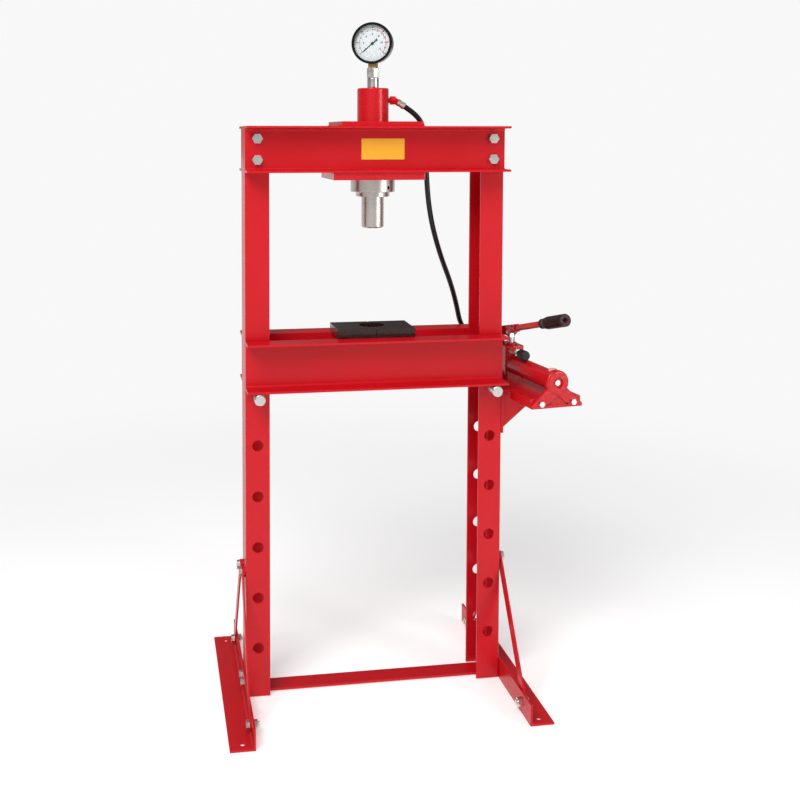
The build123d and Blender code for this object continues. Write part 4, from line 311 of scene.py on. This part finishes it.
# Enamel, print, rubber and plastic
gauge_black = plain("gauge_black", (0.001, 0.001, 0.001), (0.003, 0.002, 0.002), rough=(0.12, 0.2))
dial_white = plain(
    "dial_white", (0.66, 0.70, 0.71), (0.72, 0.75, 0.76), rough=(0.4, 0.5), strength=0.02
)
print_black = plain("print_black", (0.010, 0.010, 0.012), (0.03, 0.03, 0.03), rough=(0.5, 0.6))
print_red = plain("print_red", (0.42, 0.02, 0.03), (0.55, 0.04, 0.05), rough=(0.5, 0.6))
hose_rubber = plain("hose_rubber", (0.002, 0.002, 0.002), (0.006, 0.005, 0.005), rough=(0.22, 0.32))
grip_rubber = plain("grip_rubber", (0.004, 0.002, 0.002), (0.010, 0.005, 0.005), rough=(0.34, 0.5))
knob_black = plain("knob_black", (0.006, 0.005, 0.005), (0.016, 0.013, 0.013), rough=(0.35, 0.5))
filler = plain("filler_pale", (0.70, 0.42, 0.38), (0.80, 0.56, 0.52), rough=(0.35, 0.45))
yellow = plain(
    "yellow_plate", (0.86, 0.42, 0.020), (0.92, 0.48, 0.032),
    rough=(0.30, 0.42), scale=40.0, strength=0.05, distance=0.0003, coat=0.3,
)
seal = plain("seal_rubber", (0.01, 0.01, 0.01), (0.02, 0.02, 0.02), rough=(0.4, 0.5))
glass = clear_glass("gauge_glass")

BY_SLOT = {
    "red_paint": red,
    "zinc": zinc,
    "zinc_fitting": zinc_fitting,
    "nickel_steel": nickel,
    "ground_steel": steel,
    "spring_steel": dark_steel,
    "black_steel": black_steel,
    "seal_rubber": seal,
    "brass": brass,
    "gauge_black": gauge_black,
    "dial_white": dial_white,
    "gauge_glass": glass,
    "needle_black": print_black,
    "hose_rubber": hose_rubber,
    "grip_rubber": grip_rubber,
    "knob_black": knob_black,
    "filler_pale": filler,
    "arbor_paint": arbor,
    "yellow_plate": yellow,
}


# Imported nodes: a material by slot, rounded edges and even shading
def material_of(entry):
    if entry["node"] == "cylinder_barrel":
        return barrel_paint
    if entry["node"] in HAMMERED:
        return red_hammered
    return BY_SLOT[entry["material_slot"]]


def edge_width(name):
    if name in UNBEVELLED:
        return 0
    if name in BOLT_EDGED:
        return BOLT_EDGE_WIDTH
    return EDGE_WIDTH


def soften(obj, width):
    """Rounded edges and even shading, without touching the mesh itself."""
    obj.modifiers.new("weld", "WELD").merge_threshold = JOIN_DISTANCE
    if width > 0:
        bevel = obj.modifiers.new("bevel", "BEVEL")
        bevel.width = width
        bevel.segments = 2
        bevel.limit_method = "ANGLE"
        bevel.angle_limit = EDGE_ANGLE
    obj.modifiers.new("normals", "WEIGHTED_NORMAL").weight = NORMAL_WEIGHT


for entry in frame["record"]["subparts"]:
    node = NODES[entry["node"]]
    node.data.materials.clear()
    node.data.materials.append(material_of(entry))
    node.data.shade_smooth()
    if node.data.has_custom_normals:
        bpy.context.view_layer.objects.active = node
        bpy.ops.mesh.customdata_custom_splitnormals_clear()
    soften(node, edge_width(entry["node"]))


# Added pieces ride on the frame's body and take the finish they are given
def finish_piece(obj, material):
    scene.collection.objects.link(obj)
    obj.data.materials.clear()
    obj.data.materials.append(material)
    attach(obj, "frame")
    return obj


def weld_bead(name, start, end, radius):
    """Bead between two points, whose thickness ripples along its length."""
    start = Vector(start)
    end = Vector(end)
    count = max(4, int((end - start).length / BEAD_STEP))
    data = bpy.data.curves.new(name, "CURVE")
    data.dimensions = "3D"
    data.bevel_depth = radius
    data.bevel_resolution = 3
    data.use_fill_caps = True
    spline = data.splines.new("POLY")
    spline.points.add(count)
    for index, point in enumerate(spline.points):
        wave = math.sin(index * 2.1) + 0.5 * math.sin(index * 5.3)
        point.co = (*start.lerp(end, index / count), 1)
        point.radius = 1 + BEAD_RIPPLE * wave
    return finish_piece(bpy.data.objects.new(name, data), red)


def upright_cylinder(name, base, radius, height, segments=32):
    """Closed cylinder that stands on its base centre, with rounded rims."""
    corners = [2 * math.pi * i / segments for i in range(segments)]
    verts = [
        (base[0] + radius * math.cos(corner), base[1] + radius * math.sin(corner), base[2] + lift)
        for lift in (0, height)
        for corner in corners
    ]
    faces = [tuple(reversed(range(segments))), tuple(range(segments, 2 * segments))]
    for i in range(segments):
        j = (i + 1) % segments
        faces.append((i, j, segments + j, segments + i))
    mesh = bpy.data.meshes.new(name)
    mesh.from_pydata(verts, [], faces)
    obj = bpy.data.objects.new(name, mesh)
    bevel = obj.modifiers.new("bevel", "BEVEL")
    bevel.width = min(radius, height) * 0.2
    bevel.segments = 3
    return obj


# Hose: the same corners as the solid one, as a smooth curve
hose_data = bpy.data.curves.new("hose_cover", "CURVE")
hose_data.dimensions = "3D"
hose_data.bevel_depth = HOSE_RADIUS
hose_data.bevel_resolution = 8
hose_data.resolution_u = 24
hose_data.use_fill_caps = True
hose_spline = hose_data.splines.new("NURBS")
hose_spline.points.add(len(HOSE_CORNERS) - 1)
for point, corner in zip(hose_spline.points, HOSE_CORNERS):
    point.co = (*corner, 1)
hose_spline.order_u = 3
hose_spline.use_endpoint_u = True
hose = bpy.data.objects.new("hose_cover", hose_data)
finish_piece(hose, hose_rubber)
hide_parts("hose")

# Gauge dial: ticks and plain numbers on the dial's face
DIAL_RIGHT = Vector((math.cos(GAUGE_TURN), -math.sin(GAUGE_TURN), 0))
DIAL_UP = Vector((0, 0, 1))
DIAL_OUT = Vector((-math.sin(GAUGE_TURN), -math.cos(GAUGE_TURN), 0))
DIAL_CENTRE = Vector((0, 0, GAUGE_HEIGHT)) + DIAL_OUT * DIAL_FACE
DIAL_MATRIX = Matrix((DIAL_RIGHT, DIAL_UP, DIAL_OUT)).transposed().to_4x4()
DIAL_MATRIX.translation = DIAL_CENTRE
BLACK_PRINT = (print_black, "needle_black")
RED_PRINT = (print_red, "red_paint")


def dial_angle(share):
    return math.radians(DIAL_START_ANGLE - DIAL_SWEEP * share)


def ticks(name, shares, inner, outer, width, material, slot):
    """Thin raised bars, one for each share of the dial's sweep."""
    verts, faces = [], []
    for share in shares:
        angle = dial_angle(share)
        along = Vector((math.cos(angle), math.sin(angle), 0))
        across = Vector((-along.y, along.x, 0)) * width / 2
        first = len(verts)
        for height in (0, PRINT_THICKNESS):
            lift = Vector((0, 0, height))
            for radius, side in ((inner, -1), (outer, -1), (outer, 1), (inner, 1)):
                verts.append(tuple(DIAL_MATRIX @ (along * radius + across * side + lift)))
        below = [first + i for i in range(4)]
        above = [first + 4 + i for i in range(4)]
        faces += [tuple(reversed(below)), tuple(above)]
        for i in range(4):
            j = (i + 1) % 4
            faces.append((below[i], below[j], above[j], above[i]))
    mesh = bpy.data.meshes.new(name)
    mesh.from_pydata(verts, [], faces)
    return finish_piece(bpy.data.objects.new(name, mesh), material)


def dial_text(text, share, radius, size, material, slot):
    data = bpy.data.curves.new(f"dial_{slot}_{text}", "FONT")
    data.body = text
    data.size = size
    data.align_x = "CENTER"
    data.align_y = "CENTER"
    data.extrude = LETTER_THICKNESS
    data.offset = LETTER_THICKNESS
    obj = bpy.data.objects.new(data.name, data)
    angle = dial_angle(share)
    spot = Vector((radius * math.cos(angle), radius * math.sin(angle), LETTER_THICKNESS))
    obj.matrix_world = DIAL_MATRIX @ Matrix.Translation(spot)
    return finish_piece(obj, material)


def shares_of(steps, red_half):
    """Places along the sweep, in the black half or in the red half."""
    shares = [i / steps for i in range(steps + 1)]
    return [share for share in shares if (share > RED_FROM) == red_half]


ticks("scale_fine_black", shares_of(FINE_STEPS, False), 0.0316, 0.0338, 0.0005, *BLACK_PRINT)
ticks("scale_coarse_black", shares_of(COARSE_STEPS, False), 0.0300, 0.0348, 0.0012, *BLACK_PRINT)
ticks("scale_fine_red", shares_of(FINE_STEPS, True), 0.0316, 0.0348, 0.0009, *RED_PRINT)
ticks("scale_coarse_red", shares_of(COARSE_STEPS, True), 0.0296, 0.0358, 0.0015, *RED_PRINT)
for step in range(7):
    dial_text(str(step * 2), step / 6, 0.0225, 0.0072, *BLACK_PRINT)
for step in range(0, COARSE_STEPS + 1, 2):
    share = step / COARSE_STEPS
    dial_text(str(step * 50), share, 0.0385, 0.0038, *(RED_PRINT if share > RED_FROM else BLACK_PRINT))

# Small boss on top of the cylinder
boss = upright_cylinder("cylinder_boss", BOSS_BASE, BOSS_RADIUS, BOSS_HEIGHT)
finish_piece(boss, red_hammered)


# Weld beads
def plate_beads(name, x, height):
    """Beads across one end of a plate, at the front and the rear channel of the beam."""
    front = ((x, -PLATE_BEAD_OUTER, height), (x, -PLATE_BEAD_INNER, height))
    rear = ((x, PLATE_BEAD_INNER, height), (x, PLATE_BEAD_OUTER, height))
    weld_bead(f"{name}_front_{x}", *front, BEAD_RADIUS)
    weld_bead(f"{name}_rear_{x}", *rear, BEAD_RADIUS)


for side in (-1, 1):
    x = side * CROSSBAR_END
    front = (x, -CROSSBAR_HALF_DEPTH, CROSSBAR_TOP)
    rear = (x, CROSSBAR_HALF_DEPTH, CROSSBAR_TOP)
    weld_bead(f"weld_tie_{side}", front, rear, BEAD_RADIUS)
for y in GUSSET_SIDES:
    bottom = (GUSSET_BACK, y, GUSSET_BOTTOM)
    top = (GUSSET_BACK, y, GUSSET_TOP)
    weld_bead(f"weld_gusset_post_{y}", bottom, top, THIN_BEAD_RADIUS)
    start = (SHELF_BEAD_START, y, SHELF_BEAD_HEIGHT)
    end = (SHELF_BEAD_END, y, SHELF_BEAD_HEIGHT)
    weld_bead(f"weld_gusset_shelf_{y}", start, end, THIN_BEAD_RADIUS)
for x in TOP_PLATE_ENDS:
    plate_beads("weld_top", x, TOP_PLATE_BEAD_HEIGHT)
for x in BOTTOM_PLATE_ENDS:
    plate_beads("weld_bottom", x, BOTTOM_PLATE_BEAD_HEIGHT)


# Floor
def floor_material():
    """Matt white near the press, which fades into the even white of the backdrop."""
    mat, tree, shader, coord = new_material("floor")
    shader.inputs["Base Color"].default_value = (0.86, 0.86, 0.86, 1)
    shader.inputs["Roughness"].default_value = 0.8
    shader.inputs["Specular IOR Level"].default_value = 0.0
    shader.inputs["Emission Color"].default_value = (1, 1, 1, 1)
    shader.inputs["Emission Strength"].default_value = 0.30
    distance = tree.nodes.new("ShaderNodeVectorMath")
    distance.operation = "LENGTH"
    tree.links.new(coord.outputs["Object"], distance.inputs[0])
    fade = tree.nodes.new("ShaderNodeMapRange")
    fade.interpolation_type = "SMOOTHSTEP"
    fade.inputs["From Min"].default_value = FADE_START
    fade.inputs["From Max"].default_value = FADE_END
    tree.links.new(distance.outputs["Value"], fade.inputs["Value"])
    white = tree.nodes.new("ShaderNodeEmission")
    white.inputs["Color"].default_value = BACKDROP_WHITE
    mixed_surface(tree, fade.outputs["Result"], shader.outputs["BSDF"], white.outputs["Emission"])
    return mat


floor_mesh = bpy.data.meshes.new("floor")
floor_mesh.from_pydata(FLOOR_CORNERS, [], [(0, 1, 2, 3)])
floor_mesh.materials.append(floor_material())
floor = bpy.data.objects.new("floor", floor_mesh)
scene.collection.objects.link(floor)


# World: white to the camera, a soft studio gradient to everything else
def studio_world():
    world = bpy.data.worlds.new("studio")
    world.use_nodes = True
    tree = world.node_tree
    coord = tree.nodes.new("ShaderNodeTexCoord")
    split = tree.nodes.new("ShaderNodeSeparateXYZ")
    tree.links.new(coord.outputs["Generated"], split.inputs["Vector"])
    across = tree.nodes.new("ShaderNodeMapRange")
    across.inputs["From Min"].default_value = -1.0
    across.inputs["From Max"].default_value = 1.0
    tree.links.new(split.outputs["X"], across.inputs["Value"])
    ramp = tree.nodes.new("ShaderNodeValToRGB")
    ramp.color_ramp.elements[0].position = 0.0
    ramp.color_ramp.elements[0].color = STUDIO_LEFT
    ramp.color_ramp.elements[1].position = 1.0
    ramp.color_ramp.elements[1].color = STUDIO_RIGHT
    for place, grey in STUDIO_GREYS:
        ramp.color_ramp.elements.new(place).color = (grey, grey, grey, 1)
    tree.links.new(across.outputs["Result"], ramp.inputs["Fac"])
    path = tree.nodes.new("ShaderNodeLightPath")
    choose = tree.nodes.new("ShaderNodeMix")
    choose.data_type = "RGBA"
    choose.inputs["B"].default_value = BACKDROP_WHITE
    tree.links.new(path.outputs["Is Camera Ray"], choose.inputs["Factor"])
    tree.links.new(ramp.outputs["Color"], choose.inputs["A"])
    back = tree.nodes["Background"]
    back.inputs["Strength"].default_value = 1.0
    tree.links.new(choose.outputs["Result"], back.inputs["Color"])
    return world


scene.world = studio_world()


# Lights
def softbox(name, place, target, size_x, size_y, power):
    data = bpy.data.lights.new(name, "AREA")
    data.shape = "RECTANGLE"
    data.size = size_x
    data.size_y = size_y
    data.energy = power
    obj = bpy.data.objects.new(name, data)
    obj.location = place
    way = Vector(target) - Vector(place)
    obj.rotation_mode = "QUATERNION"
    obj.rotation_quaternion = way.to_track_quat("-Z", "Y")
    scene.collection.objects.link(obj)
    return obj


softbox("key", (-1.8, -2.6, 4.0), (0, 0, 0.8), size_x=2.4, size_y=2.2, power=165)
softbox("fill", (2.6, -2.4, 1.4), (0.1, 0, 0.8), size_x=0.9, size_y=2.4, power=40)
softbox("top", (0.0, 0.2, 4.2), (0, 0, 0), size_x=2.6, size_y=2.6, power=20)

# Camera
camera_data = bpy.data.cameras.new("camera")
camera_data.sensor_width = SENSOR_WIDTH
camera_data.lens = SENSOR_WIDTH * FOCAL_PX / PICTURE_PX
camera_data.shift_x = (PICTURE_PX / 2 - CENTRE_X_PX) / PICTURE_PX
camera_data.shift_y = (CENTRE_Y_PX - PICTURE_PX / 2) / PICTURE_PX
camera_data.clip_start = 0.05
camera_data.clip_end = 200
camera = bpy.data.objects.new("camera", camera_data)
camera.location = CAMERA_PLACE
forward = Vector(
    (math.sin(YAW) * math.cos(PITCH), math.cos(YAW) * math.cos(PITCH), -math.sin(PITCH))
)
camera.rotation_mode = "QUATERNION"
camera.rotation_quaternion = forward.to_track_quat("-Z", "Y")
scene.collection.objects.link(camera)
scene.camera = camera
scene.view_settings.view_transform = "Standard"
